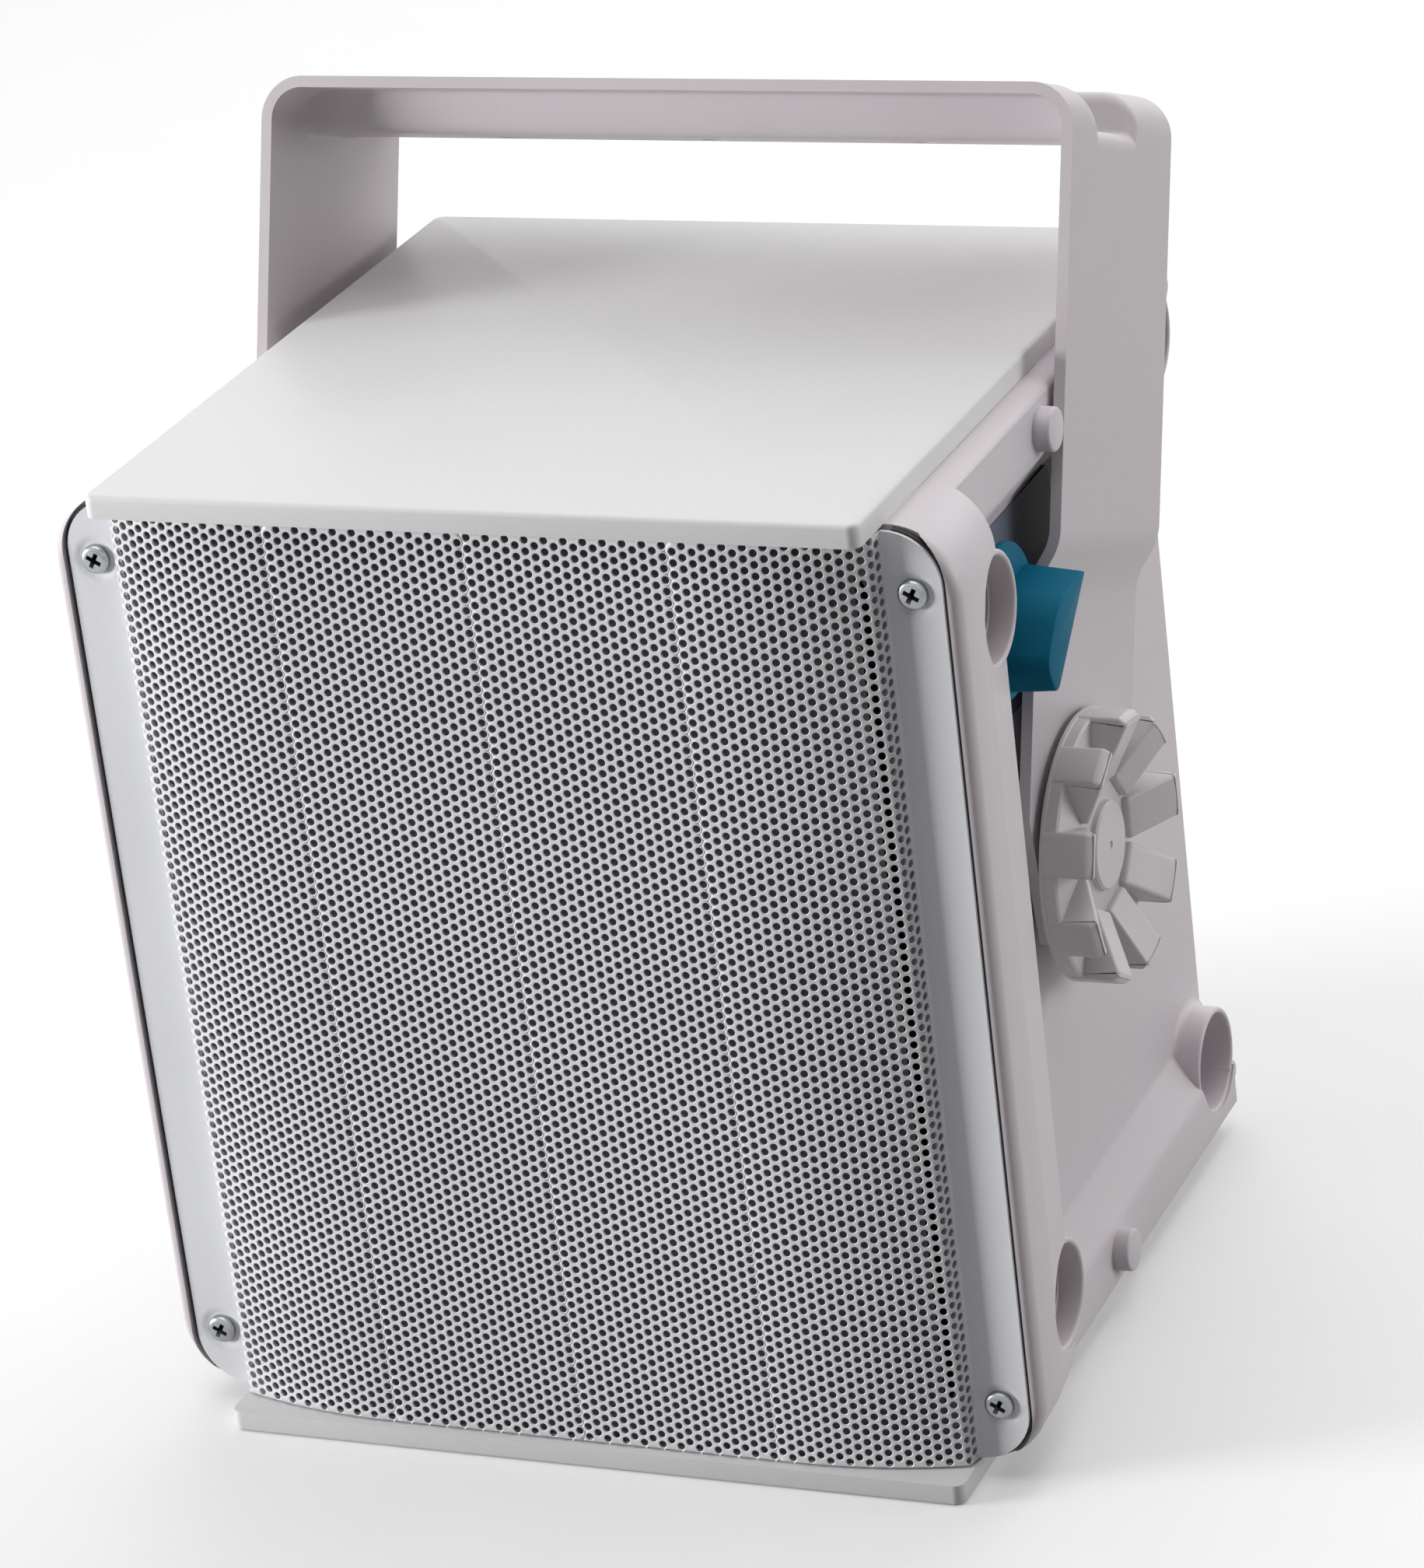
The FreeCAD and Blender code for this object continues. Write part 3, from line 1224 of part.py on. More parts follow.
def main():
    os.makedirs("parts", exist_ok=True)
    stud = make_stud()
    friction = make_washer(FRICTION_WASHER_RADIUS, BOSS_FACE, FRICTION_WASHER_THICK)
    steel = make_washer(STEEL_WASHER_RADIUS, ARM_OUTER, STEEL_WASHER_THICK)
    knob = make_hand_knob()
    insert = make_insert()
    nodes = {
        "top_plate": make_plate(True),
        "bottom_plate": make_plate(False),
        "front_frame": make_front_frame(),
        "front_cup_floors": make_cup_floors(),
        "grille": make_grille(),
        "grille_screws": make_grille_screws(),
        "grille_gasket": make_gasket(),
        "grille_cloth": make_grille_cloth(),
        "rear_housing": make_rear_housing(),
        "label_plate": make_label_plate(),
        "back_panel": make_back_panel(),
        "back_panel_screws": make_back_screws(),
        "bracket": make_bracket(),
        "selector_knob": make_selector_knob(),
        "selector_shaft": make_selector_shaft(),
        "selector_switch": make_selector_switch(),
        "baffle": make_baffle(),
        "driver_basket": make_basket(),
        "driver_screws": make_driver_screws(),
        "driver_gap_plate": make_gap_plate(),
        "driver_magnet": make_magnet(),
        "driver_pole_plate": make_pole_plate(),
        "driver_voice_coil": make_voice_coil(),
        "driver_cone": make_cone(),
        "driver_surround": make_surround(),
        "driver_spider": make_spider(),
        "driver_dust_cap": make_dust_cap(),
        "transformer_core": make_transformer_core(),
        "transformer_winding": make_transformer_winding(),
        "terminal_block": make_terminal_block(),
        "cable_gland": make_gland(),
    }
    for name, shape in (
        ("pivot_stud", stud),
        ("friction_washer", friction),
        ("steel_washer", steel),
        ("hand_knob", knob),
        ("knob_insert", insert),
    ):
        nodes[name + "_right"] = shape
        nodes[name + "_left"] = mirrored(shape)
    for name, shape in nodes.items():
        shape.exportStep("parts/" + name + ".step")
        box = shape.BoundBox
        print(name, shape.isValid(), len(shape.Solids), round(shape.Volume / 1000, 2), [
            round(v, 1) for v in (box.XMin, box.XMax, box.YMin, box.YMax, box.ZMin, box.ZMax)
        ])


main()
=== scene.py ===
"""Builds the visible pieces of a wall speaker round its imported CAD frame."""
import json
import math

import bmesh
import bpy
from bpy.props import FloatProperty, FloatVectorProperty, IntProperty, PointerProperty
from mathutils import Matrix, Vector


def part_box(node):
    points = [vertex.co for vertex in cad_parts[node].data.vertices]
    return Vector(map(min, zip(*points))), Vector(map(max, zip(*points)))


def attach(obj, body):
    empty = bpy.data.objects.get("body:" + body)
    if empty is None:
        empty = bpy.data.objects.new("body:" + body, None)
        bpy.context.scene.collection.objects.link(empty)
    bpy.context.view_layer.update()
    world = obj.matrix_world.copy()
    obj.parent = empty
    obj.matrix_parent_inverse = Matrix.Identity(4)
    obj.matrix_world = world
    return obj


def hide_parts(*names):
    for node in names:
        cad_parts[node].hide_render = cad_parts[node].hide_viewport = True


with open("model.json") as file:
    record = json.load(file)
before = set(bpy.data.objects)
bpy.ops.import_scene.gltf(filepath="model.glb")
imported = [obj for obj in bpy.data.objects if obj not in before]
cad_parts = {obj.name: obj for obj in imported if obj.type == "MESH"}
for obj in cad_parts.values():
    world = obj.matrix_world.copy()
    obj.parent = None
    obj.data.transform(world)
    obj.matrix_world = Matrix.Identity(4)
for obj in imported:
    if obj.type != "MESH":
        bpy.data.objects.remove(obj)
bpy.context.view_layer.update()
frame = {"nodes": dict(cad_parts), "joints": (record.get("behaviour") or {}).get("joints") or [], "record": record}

bl_info = {
    "name": "Wall speaker",
    "version": (1, 0, 0),
    "blender": (4, 5, 0),
    "location": "View3D > Sidebar > Speaker",
    "description": "Builds the visible pieces of a wall speaker with a tilting yoke bracket",
    "category": "Object",
}

PLATE_LOW, PLATE_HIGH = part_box("top_plate")
FRONT_EDGE = PLATE_LOW.y
LENGTH = PLATE_HIGH.y - PLATE_LOW.y
TOP = PLATE_HIGH.z
MID = TOP / 2
INNER_HALF = MID - (PLATE_HIGH.z - PLATE_LOW.z)

X, Y, Z = range(3)

# How far a cutter runs past what it cuts, and how close points count as one place
CUT_PAST = 0.01
NEAR = 1e-6

# Steps of a turned cup
CUP_STEPS = 64

# Roundings of small turned details, and the gap round a cup
SOFT_EDGE = 0.0008
FINE_EDGE = 0.0006
CUP_GAP = 0.0004


def joint_place(name):
    """Place of a joint in the frame."""
    return Vector(next(joint for joint in frame["joints"] if joint["name"] == name)["pos_m"])


PIVOT = joint_place("bracket_tilt")
DIAL = joint_place("selector_turn")


def size_of(name, description, default):
    """A length that a user may change."""
    return FloatProperty(
        name=name, description=description, default=default, unit="LENGTH", precision=5
    )


def angle_of(name, description, degrees):
    """An angle that a user may change."""
    return FloatProperty(
        name=name, description=description, default=math.radians(degrees), subtype="ANGLE"
    )


def colour_of(name, description, default):
    """A colour that a user may change."""
    return FloatVectorProperty(
        name=name, description=description, default=default, subtype="COLOR", size=3, min=0.0, max=1.0
    )


class CabinetSizes(bpy.types.PropertyGroup):
    """Sizes of the plates, the front frame and the rear housing."""

    plate_corner: size_of("Plate corner", "Corner radius of the plates in plan", 0.003)
    plate_edge: size_of("Plate edge", "Rounding of the plates' outer edges", 0.0012)
    frame_front: size_of("Frame front", "Depth of the frame's front rim", 0.0134)
    frame_shoulder: size_of("Frame shoulder", "Depth where the frame is widest", 0.0172)
    frame_crease: size_of("Frame crease", "Depth of the faint crease along the frame's side", 0.031)
    frame_rear: size_of("Frame rear", "Depth of the frame's rear edge", 0.0473)
    frame_half: size_of("Frame half width", "Half width of the frame at its widest", 0.123)
    frame_crease_half: size_of("Crease half width", "Half width of the frame at the crease", 0.1223)
    frame_rear_half: size_of("Rear half width", "Half width of the frame at its rear edge", 0.1202)
    frame_corner: size_of("Frame corner", "Corner radius of the frame", 0.018)
    frame_rim: size_of("Rim rounding", "Rounding of the frame's front rim", 0.0026)
    frame_rim_share: FloatProperty(
        name="Rim share", description="Share of the rim's rounding at the top and bottom", default=0.6
    )
    flange_gap: size_of("Flange gap", "Gap round the grille's flanges", 0.0013)
    flange_pocket: size_of("Flange pocket", "Depth of the pocket for the grille's flanges", 0.017)
    window_half_width: size_of("Window half width", "Half width of the frame's window", 0.098)
    window_half_height: size_of("Window half height", "Half height of the frame's window", 0.117)
    window_corner: size_of("Window corner", "Corner radius of the frame's window", 0.008)
    baffle_half_width: size_of("Baffle half width", "Half width of the baffle's seat", 0.103)
    baffle_half_height: size_of("Baffle half height", "Half height of the baffle's seat", 0.124)
    baffle_seat: size_of("Baffle seat", "Depth of the baffle's seat", 0.024)
    front_cup_depth: size_of("Front cup depth", "Depth of the front cups' centres", 0.0444)
    front_cup_rise: size_of("Front cup rise", "Front cups' distance from mid-height", 0.095)
    front_cup_foot: size_of("Front cup foot", "Distance of their feet from the centre", 0.1076)
    front_cup_rim: size_of("Front cup rim", "Distance of the front cups' rims from the centre", 0.120)
    front_cup_bore: size_of("Front cup bore", "Inner radius of the front cups", 0.0134)
    front_cup_wall: size_of("Front cup wall", "Wall of the front cups", 0.0017)
    front_cup_ledge: size_of("Front cup ledge", "Depth of the ledge inside the front cups", 0.0063)
    front_cup_well: size_of("Front cup well", "Radius of the well inside the ledge", 0.0112)
    front_cup_floor: size_of("Front cup floor", "Depth of the well under the ledge", 0.0016)
    front_cup_lip: size_of("Front cup lip", "Rounding of the front cups' mouths", 0.0009)
    rail_front_half: size_of("Rail half width", "Half width of the rails behind the frame", 0.1114)
    side_taper: FloatProperty(name="Side taper", description="Inward lean of the sides", default=0.012)
    recess_depth: size_of("Recess depth", "Depth of the recessed side panels", 0.0086)
    recess_half: size_of("Recess half height", "Half height of the recessed panels", 0.0995)
    recess_flank: size_of("Recess flank", "Height that the sloping flanks take", 0.0105)
    recess_cove: size_of("Recess cove", "Radius between the panels and their flanks", 0.003)
    recess_crest: size_of("Recess crest", "Radius between the flanks and the rails", 0.004)
    rail_edge: size_of("Rail edge", "Rounding of the rails' outer edges", 0.001)
    wall: size_of("Wall", "Thickness of the housing's walls", 0.003)
    housing_edge: size_of("Housing edge", "Rounding of the housing's sharp edges", 0.0005)
    cavity_end: size_of("Cavity end", "Depth where the housing's inside ends", 0.2084)
    back_half_width: size_of("Back half width", "Half width of the opening in the back", 0.080)
    back_half_height: size_of("Back half height", "Half height of the opening in the back", 0.104)
    panel_half_width: size_of("Panel half width", "Half width of the back panel's seat", 0.0884)
    panel_half_height: size_of("Panel half height", "Half height of the back panel's seat", 0.1124)
    panel_seat: size_of("Panel seat", "Depth of the back panel's seat", 0.2124)
    rear_cup_inset: size_of("Rear cup inset", "Rear cups' distance from the rear edge", 0.0126)
    rear_cup_rise: size_of("Rear cup rise", "Rear cups' distance from mid-height", 0.1076)
    rear_cup_foot: size_of("Rear cup foot", "Distance of the rear cups' feet from the centre", 0.092)
    rear_cup_cove: size_of("Rear cup cove", "Radius between the rear cups and the panels", 0.0022)
    rear_cup_rim: size_of("Rear cup rim", "Distance of the rear cups' rims from the centre", 0.1088)
    rear_cup_bore: size_of("Rear cup bore", "Inner radius of the rear cups", 0.0136)
    rear_cup_wall: size_of("Rear cup wall", "Wall of the rear cups", 0.0017)
    rear_cup_well: size_of("Rear cup well", "Depth of the rear cups", 0.011)
    peg_radius: size_of("Peg radius", "Radius of the stop pegs", 0.0058)
    peg_foot: size_of("Peg foot", "Distance of the pegs' feet from the centre", 0.1046)
    peg_end: size_of("Peg end", "Distance of the pegs' ends from the centre", 0.115)
    peg_depth: size_of("Peg depth", "Depth of the pegs' centres", 0.11015)
    peg_rise: size_of("Peg rise", "Pegs' distance from mid-height", 0.1172)
    nub_radius: size_of("Nub radius", "Radius of the small nubs behind the rear cups", 0.003)
    nub_foot: size_of("Nub foot", "Distance of the nubs' feet from the centre", 0.098)
    nub_out: size_of("Nub out", "Distance of the nubs' centres behind the plates", 0.0008)
    boss_radius: size_of("Boss radius", "Radius of the pivot bosses", 0.020)
    boss_foot: size_of("Boss foot", "Distance of the bosses' feet from the centre", 0.0945)
    boss_face: size_of("Boss face", "Distance of the bosses' faces from the centre", 0.1044)
    stud_bore: size_of("Stud bore", "Radius of the studs' holes", 0.0043)
    shaft_bore: size_of("Shaft bore", "Radius of the selector shaft's hole", 0.0053)
    bore_start: size_of("Bore start", "Distance of the holes' inner ends from the centre", 0.080)


class GrilleSizes(bpy.types.PropertyGroup):
    """Sizes of the perforated grille."""

    set_back: size_of("Set back", "Depth of the grille's flat middle", 0.0026)
    flat_half: size_of("Flat half width", "Half width of the flat middle", 0.058)
    bow: size_of("Bow radius", "Radius of the bowed sides", 0.1469)
    face_half: size_of("Face half width", "Half width of the bowed face", 0.1025)
    hole: size_of("Hole", "Diameter of the holes", 0.002)
    hole_edge: size_of("Hole edge", "Rounding of the holes' front edges", 0.0002)
    pitch: size_of("Pitch", "Distance between the holes", 0.003)
    cloth: size_of("Cloth", "Thickness of the cloth behind the grille", 0.0006)
    cloth_gap: size_of("Cloth gap", "Space round the cloth", 0.0004)
    cloth_inset: size_of("Cloth inset", "Distance of the cloth's sides from the face's edges", 0.0035)
    sheet: size_of("Sheet", "Thickness of the sheet", 0.001)
    half_height: size_of("Half height", "Half height of the sheet", 0.1272)
    flange_set: size_of("Flange set back", "Depth of the side flanges", 0.0142)
    flange_half: size_of("Flange half width", "Half width over the flanges", 0.1186)
    flange_corner: size_of("Flange corner", "Corner radius of the flanges", 0.014)
    knuckle: size_of("Knuckle", "Radius of the bend at the face's side edges", 0.0011)
    wall_turn: angle_of("Wall turn", "Turn of the side walls from the face", 76)
    columns: IntProperty(
        name="Columns", description="Columns of holes on each side of the middle", default=41, min=1
    )
    root_gap: size_of("Root gap", "Distance of the flanges' bends from the side walls", 0.0004)
    dimple: size_of("Dimple", "Radius of the dimple round a screw", 0.0058)
    dimple_depth: size_of("Dimple depth", "Depth of the dimple", 0.0006)
    dimple_slope: size_of("Dimple slope", "Width of the dimple's sloping rim", 0.0016)
    screw_x: size_of("Screw place", "Distance of the screws from the centre line", 0.111)
    screw_rise: size_of("Screw rise", "Distance of the screws from mid-height", 0.1112)
    screw_head: size_of("Screw head", "Radius of the screw heads", 0.0039)
    screw_thick: size_of("Screw thickness", "Thickness of the screw heads", 0.0021)
    screw_shank: size_of("Screw shank", "Radius of the screws' shanks", 0.0016)
    screw_length: size_of("Screw length", "Length of the screws under their heads", 0.0115)


class YokeSizes(bpy.types.PropertyGroup):
    """Sizes of the yoke bracket."""

    thick: size_of("Thickness", "Thickness of the steel", 0.003)
    edge: size_of("Edge", "Rounding of the steel's edges", 0.0012)
    half_width: size_of("Half width", "Half width of the strip", 0.039)
    reach: size_of("Reach", "Distance of the crossbar's face from the pivot", 0.1957)
    arm_low: size_of("Lower arm", "Outer face of the lower arms", 0.1087)
    arm_high: size_of("Upper arm", "Outer face of the upper arms", 0.1147)
    jog_low: size_of("Jog start", "Start of the jog above the pivot", 0.068)
    jog_high: size_of("Jog end", "End of the jog above the pivot", 0.079)
    jog_round: size_of("Jog rounding", "Radius of the jog's bends", 0.0035)
    foot_start: size_of("Foot start", "Height over the pivot where the arms begin to narrow", 0.008)
    foot_height: size_of("Foot height", "Height over which the arms narrow, down to their ends", 0.033)
    foot_inset: size_of("Foot inset", "How much each side of an arm narrows", 0.019)
    bend: size_of("Bend", "Outer radius of the corner bends", 0.0115)
    channel_front: size_of("Channel front", "Front end of the crossbar's pressed channel", -0.0243)
    channel_rear: size_of("Channel rear", "Rear end of the crossbar's pressed channel", 0.017)
    channel_depth: size_of("Channel depth", "Depth of the pressed channel", 0.0113)
    channel_crest: size_of("Channel crest", "Radius along the channel's rims", 0.0042)
    channel_cove: size_of("Channel cove", "Radius along the channel's floor", 0.0015)
    channel_end: size_of("Channel end", "Radius where the channel runs out on the arms", 0.0045)
    channel_wall: angle_of("Channel wall", "Slope of the channel's walls", 78)
    fixing_hole: size_of("Fixing hole", "Radius of the fixing holes", 0.0033)
    fixing_spread: size_of("Fixing spread", "Distance between the fixing holes", 0.060)
    lean: angle_of("Lean", "Rearward lean at rest", 20.5)


class KnobSizes(bpy.types.PropertyGroup):
    """Sizes of the hand knobs and the selector."""

    radius: size_of("Knob radius", "Radius of the hand knobs", 0.036)
    base: size_of("Knob base", "Distance of the knobs' bases from the centre", 0.1104)
    height: size_of("Knob height", "Height of the knobs", 0.0142)
    hub: size_of("Hub radius", "Radius of the hub's flat", 0.0118)
    hub_rise: size_of("Hub rise", "Height of the hub's flat over the base", 0.007)
    disc: size_of("Knob disc", "Thickness of the knobs' disc", 0.0046)
    lobe_width: size_of("Lobe width", "Width of a lobe", 0.0118)
    lobe_start: size_of("Lobe start", "Distance of a lobe's inner end from the axis", 0.017)
    lobe_start_rise: size_of("Lobe start rise", "Height of a lobe's inner end", 0.0064)
    lobe_land: size_of("Lobe land", "Flat on top of a lobe, at its rim", 0.0024)
    lobe_ease: size_of("Lobe ease", "Chamfer at a lobe's outer end", 0.0018)
    lobes: IntProperty(name="Lobes", description="Lobes on a hand knob", default=9, min=3)
    skirt: size_of("Skirt radius", "Radius of the selector's skirt", 0.0205)
    skirt_top: size_of("Skirt top", "Distance of the skirt's face from the centre", 0.1088)
    skirt_thick: size_of("Skirt thickness", "Thickness of the skirt", 0.0018)
    grip_top: size_of("Grip top", "Distance of the grip's top from the centre", 0.1247)
    grip_foot: size_of("Grip foot", "Height of the grip's foot over the skirt's underside", 0.0002)
    grip_flat: size_of("Grip flat", "Distance of the grip's flat side from the axis", 0.0041)
    grip_tip: size_of("Grip tip", "Reach of the grip's tip", 0.0184)
    grip_crown: size_of("Grip crown", "Place of the curved side's crown along the grip", 0.0015)
    grip_crown_out: size_of("Grip crown out", "Distance of the crown from the axis", 0.0092)
    grip_heel: size_of("Grip heel", "Reach of the grip's heel", 0.0153)
    grip_heel_out: size_of("Grip heel out", "Distance of the heel from the axis", 0.0072)
    grip_tail: size_of("Grip tail", "Reach of the grip's tail", 0.0183)
    grip_tip_round: size_of("Tip rounding", "Corner radius of the grip's tip", 0.0008)
    grip_crown_round: size_of("Crown rounding", "Corner radius of the crown", 0.012)
    grip_heel_round: size_of("Heel rounding", "Corner radius of the heel", 0.005)
    grip_tail_round: size_of("Tail rounding", "Corner radius of the tail", 0.003)
    grip_draft: FloatProperty(
        name="Grip draft", description="Growth of the grip towards its foot", default=1.09
    )
    grip_edge: size_of("Grip edge", "Rounding of the grip's end", 0.0005)
    grip_turn: angle_of("Grip turn", "Angle of the grip above level", 40)


class SpeakerFinishes(bpy.types.PropertyGroup):
    """Colours of the finishes."""

    plate: colour_of("Plates", "Colour of the top and bottom plates", (0.78, 0.775, 0.775))
    shell: colour_of("Shell", "Colour of the frame and the housing", (0.66, 0.615, 0.642))
    grille: colour_of("Grille", "Colour of the grille's paint", (0.84, 0.845, 0.875))
    bracket: colour_of("Bracket", "Colour of the bracket's paint", (0.60, 0.555, 0.58))
    knob: colour_of("Hand knobs", "Colour of the hand knobs", (0.64, 0.62, 0.62))
    selector: colour_of("Selector", "Colour of the selector", (0.006, 0.14, 0.235))
    dial_plate: colour_of("Dial plate", "Colour of the plate round the selector", (0.028, 0.038, 0.06))


# Mesh helpers


def depth(distance):
    """Model Y of a distance behind the plates' front edge."""
    return FRONT_EDGE + distance


def new_face(bm, points):
    return bm.faces.new([bm.verts.new(p) for p in points])


def bevel(bm, geom, offset, segments, affect):
    bmesh.ops.bevel(
        bm,
        geom=geom,
        offset=offset,
        offset_type="OFFSET",
        affect=affect,
        segments=segments,
        profile=0.5,
        material=-1,
    )


def bevel_edges(bm, edges, offset, segments):
    bevel(bm, list(edges), offset, segments, "EDGES")


def round_face(bm, radius, segments):
    """Round the corners of the only face in a bmesh."""
    bevel(bm, list(bm.verts), radius, segments, "VERTICES")
    bm.faces.ensure_lookup_table()
    return bm.faces[0]


def round_corners(bm, corners, segments=8):
    """Round corners of the only face in a bmesh, given as (point, radius) pairs."""
    for point, radius in corners:
        vert = min(bm.verts, key=lambda v: (v.co - Vector(point)).length)
        first, second = [e.other_vert(vert).co - vert.co for e in vert.link_edges]
        bevel(bm, [vert], radius / math.tan(first.angle(second) / 2), segments, "VERTICES")
    bm.faces.ensure_lookup_table()
    return bm.faces[0]


def edges_at(bm, axis, level):
    """Edges that lie at one coordinate of an axis."""
    return [e for e in bm.edges if all(abs(v.co[axis] - level) < NEAR for v in e.verts)]


def span(edge, axis):
    """Distance between an edge's ends along an axis."""
    return abs(edge.verts[0].co[axis] - edge.verts[1].co[axis])


def everything(bm):
    return list(bm.verts) + list(bm.edges) + list(bm.faces)


def cut_plane(bm, point, normal, clear=False):
    """Cut a whole bmesh along a plane, and clear what lies outside it if asked."""
    bmesh.ops.bisect_plane(
        bm, geom=everything(bm), dist=NEAR, plane_co=point, plane_no=normal, clear_outer=clear
    )


def new_verts(made):
    """The vertices in what an operator has made."""
    return [item for item in made["geom"] if isinstance(item, bmesh.types.BMVert)]


def arc(x, y, radius, start, end, steps):
    """Points of an outline round part of a circle, between two angles in degrees."""
    turns = [math.radians(start + (end - start) * k / steps) for k in range(steps + 1)]
    return [(x + radius * math.cos(turn), y + radius * math.sin(turn)) for turn in turns]


def raise_face(bm, face, offset, keep=True):
    """Extrude a face by an offset and return the moved cap; the old face stays as an end wall."""
    made = bmesh.ops.extrude_face_region(bm, geom=[face])["geom"]
    cap = next(g for g in made if isinstance(g, bmesh.types.BMFace))
    bmesh.ops.translate(bm, verts=list(cap.verts), vec=offset)
    if not keep:
        bmesh.ops.delete(bm, geom=[face], context="FACES_ONLY")
    return cap


def tidy(bm):
    """Merge doubled points and turn every face outwards."""
    bmesh.ops.remove_doubles(bm, verts=list(bm.verts), dist=NEAR)
    bmesh.ops.recalc_face_normals(bm, faces=list(bm.faces))
    return bm


def rectangle(half_w, half_h):
    return ((-half_w, -half_h), (half_w, -half_h), (half_w, half_h), (-half_w, half_h))


def rounded_block(half_w, half_h, radius, start, end, segments=12):
    """Rounded block about mid-height, between two depths."""
    bm = bmesh.new()
    face = new_face(bm, [(x, depth(start), MID + z) for x, z in rectangle(half_w, half_h)])
    if radius > 0:
        face = round_face(bm, radius, segments)
    raise_face(bm, face, (0, end - start, 0))
    return tidy(bm)


def turned(bm, outline, centre, axis, steps=48):
    """Spin an outline of (radius, along) points round an axis through a centre."""
    axis = Vector(axis)
    side = Vector((0, 0, 1)) if abs(axis.z) < 0.5 else Vector((1, 0, 0))
    verts = [
        bm.verts.new(Vector(centre) + axis * along + side * radius) for radius, along in outline
    ]
    edges = [bm.edges.new(pair) for pair in zip(verts, verts[1:])]
    bmesh.ops.spin(
        bm, geom=verts + edges, cent=centre, axis=axis, angle=2 * math.pi, steps=steps, use_merge=True
    )
    return bm


def turned_x(outline, y, z, steps=48):
    """Closed turned shape about a line along X; the outline gives (radius, model X)."""
    bm = bmesh.new()
    turned(bm, outline, (0, y, z), (1, 0, 0), steps)
    return tidy(bm)


def soft_rod(radius, start, end, edge):
    """Outline of a rod from start to end whose far edge is rounded."""
    return [(0, start), (radius, start)] + arc(radius - edge, end - edge, edge, 0, 90, 3) + [(0, end)]


def plain_rod(radius, start, end, y, z, steps):
    """Rod along X, for cutting round holes."""
    return turned_x([(0, start), (radius, start), (radius, end), (0, end)], y, z, steps)


def join(*parts):
    """One bmesh holding several closed shells."""
    whole = bmesh.new()
    for part in parts:
        mesh = bpy.data.meshes.new("part")
        part.to_mesh(mesh)
        part.free()
        whole.from_mesh(mesh)
        bpy.data.meshes.remove(mesh)
    return whole


def both_sides(make, *values):
    """A shape and its mirror image."""
    right = make(*values)
    left = make(*values)
    bmesh.ops.scale(left, vec=(-1, 1, 1), verts=list(left.verts))
    bmesh.ops.reverse_faces(left, faces=list(left.faces))
    return [right, left]


def as_object(name, bm):
    mesh = bpy.data.meshes.new(name)
    bm.to_mesh(mesh)
    bm.free()
    obj = bpy.data.objects.new(name, mesh)
    bpy.context.scene.collection.objects.link(obj)
    return obj


def carve(obj, shapes, operation):
    """Cut shapes out of an object, or join them to it."""
    for bm in shapes:
        tool = as_object("tool", bm)
        cut = obj.modifiers.new("carve", "BOOLEAN")
        cut.operation = operation
        cut.solver = "EXACT"
        cut.object = tool
        graph = bpy.context.evaluated_depsgraph_get()
        mesh = bpy.data.meshes.new_from_object(obj.evaluated_get(graph))
        obj.modifiers.clear()
        old = obj.data
        obj.data = mesh
        bpy.data.meshes.remove(old)
        old = tool.data
        bpy.data.objects.remove(tool)
        bpy.data.meshes.remove(old)


def place(obj, body, finish, stands_for=(), angle=35.0):
    """Give a piece its body and its finish in a material slot, and hide the CAD nodes it stands for."""
    obj.data.materials.clear()
    obj.data.materials.append(finish)
    obj.data.shade_smooth()
    obj.data.set_sharp_from_angle(angle=math.radians(angle))
    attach(obj, body)
    if stands_for:
        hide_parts(*stands_for)


def soften(obj, width, segments=2, angle=30.0):
    """Round an object's sharp edges."""
    rounding = obj.modifiers.new("soften", "BEVEL")
    rounding.width = width
    rounding.segments = segments
    rounding.limit_method = "ANGLE"
    rounding.angle_limit = math.radians(angle)
    rounding.harden_normals = True


def thicken(obj, thickness):
    """Give an open sheet its thickness, behind its face."""
    sheet = obj.modifiers.new("sheet", "SOLIDIFY")
    sheet.thickness = thickness
    sheet.offset = -1


# Material helpers


class Signal:
    """A shader socket that can be used in arithmetic."""

    def __init__(self, graph, socket):
        self.graph = graph
        self.socket = socket

    def _math(self, operation, first, second):
        return self.graph.node("ShaderNodeMath", {"operation": operation}, {0: first, 1: second})

    def __add__(self, other):
        return self._math("ADD", self, other)

    __radd__ = __add__

    def __rsub__(self, other):
        return self._math("SUBTRACT", other, self)

    def __mul__(self, other):
        return self._math("MULTIPLY", self, other)


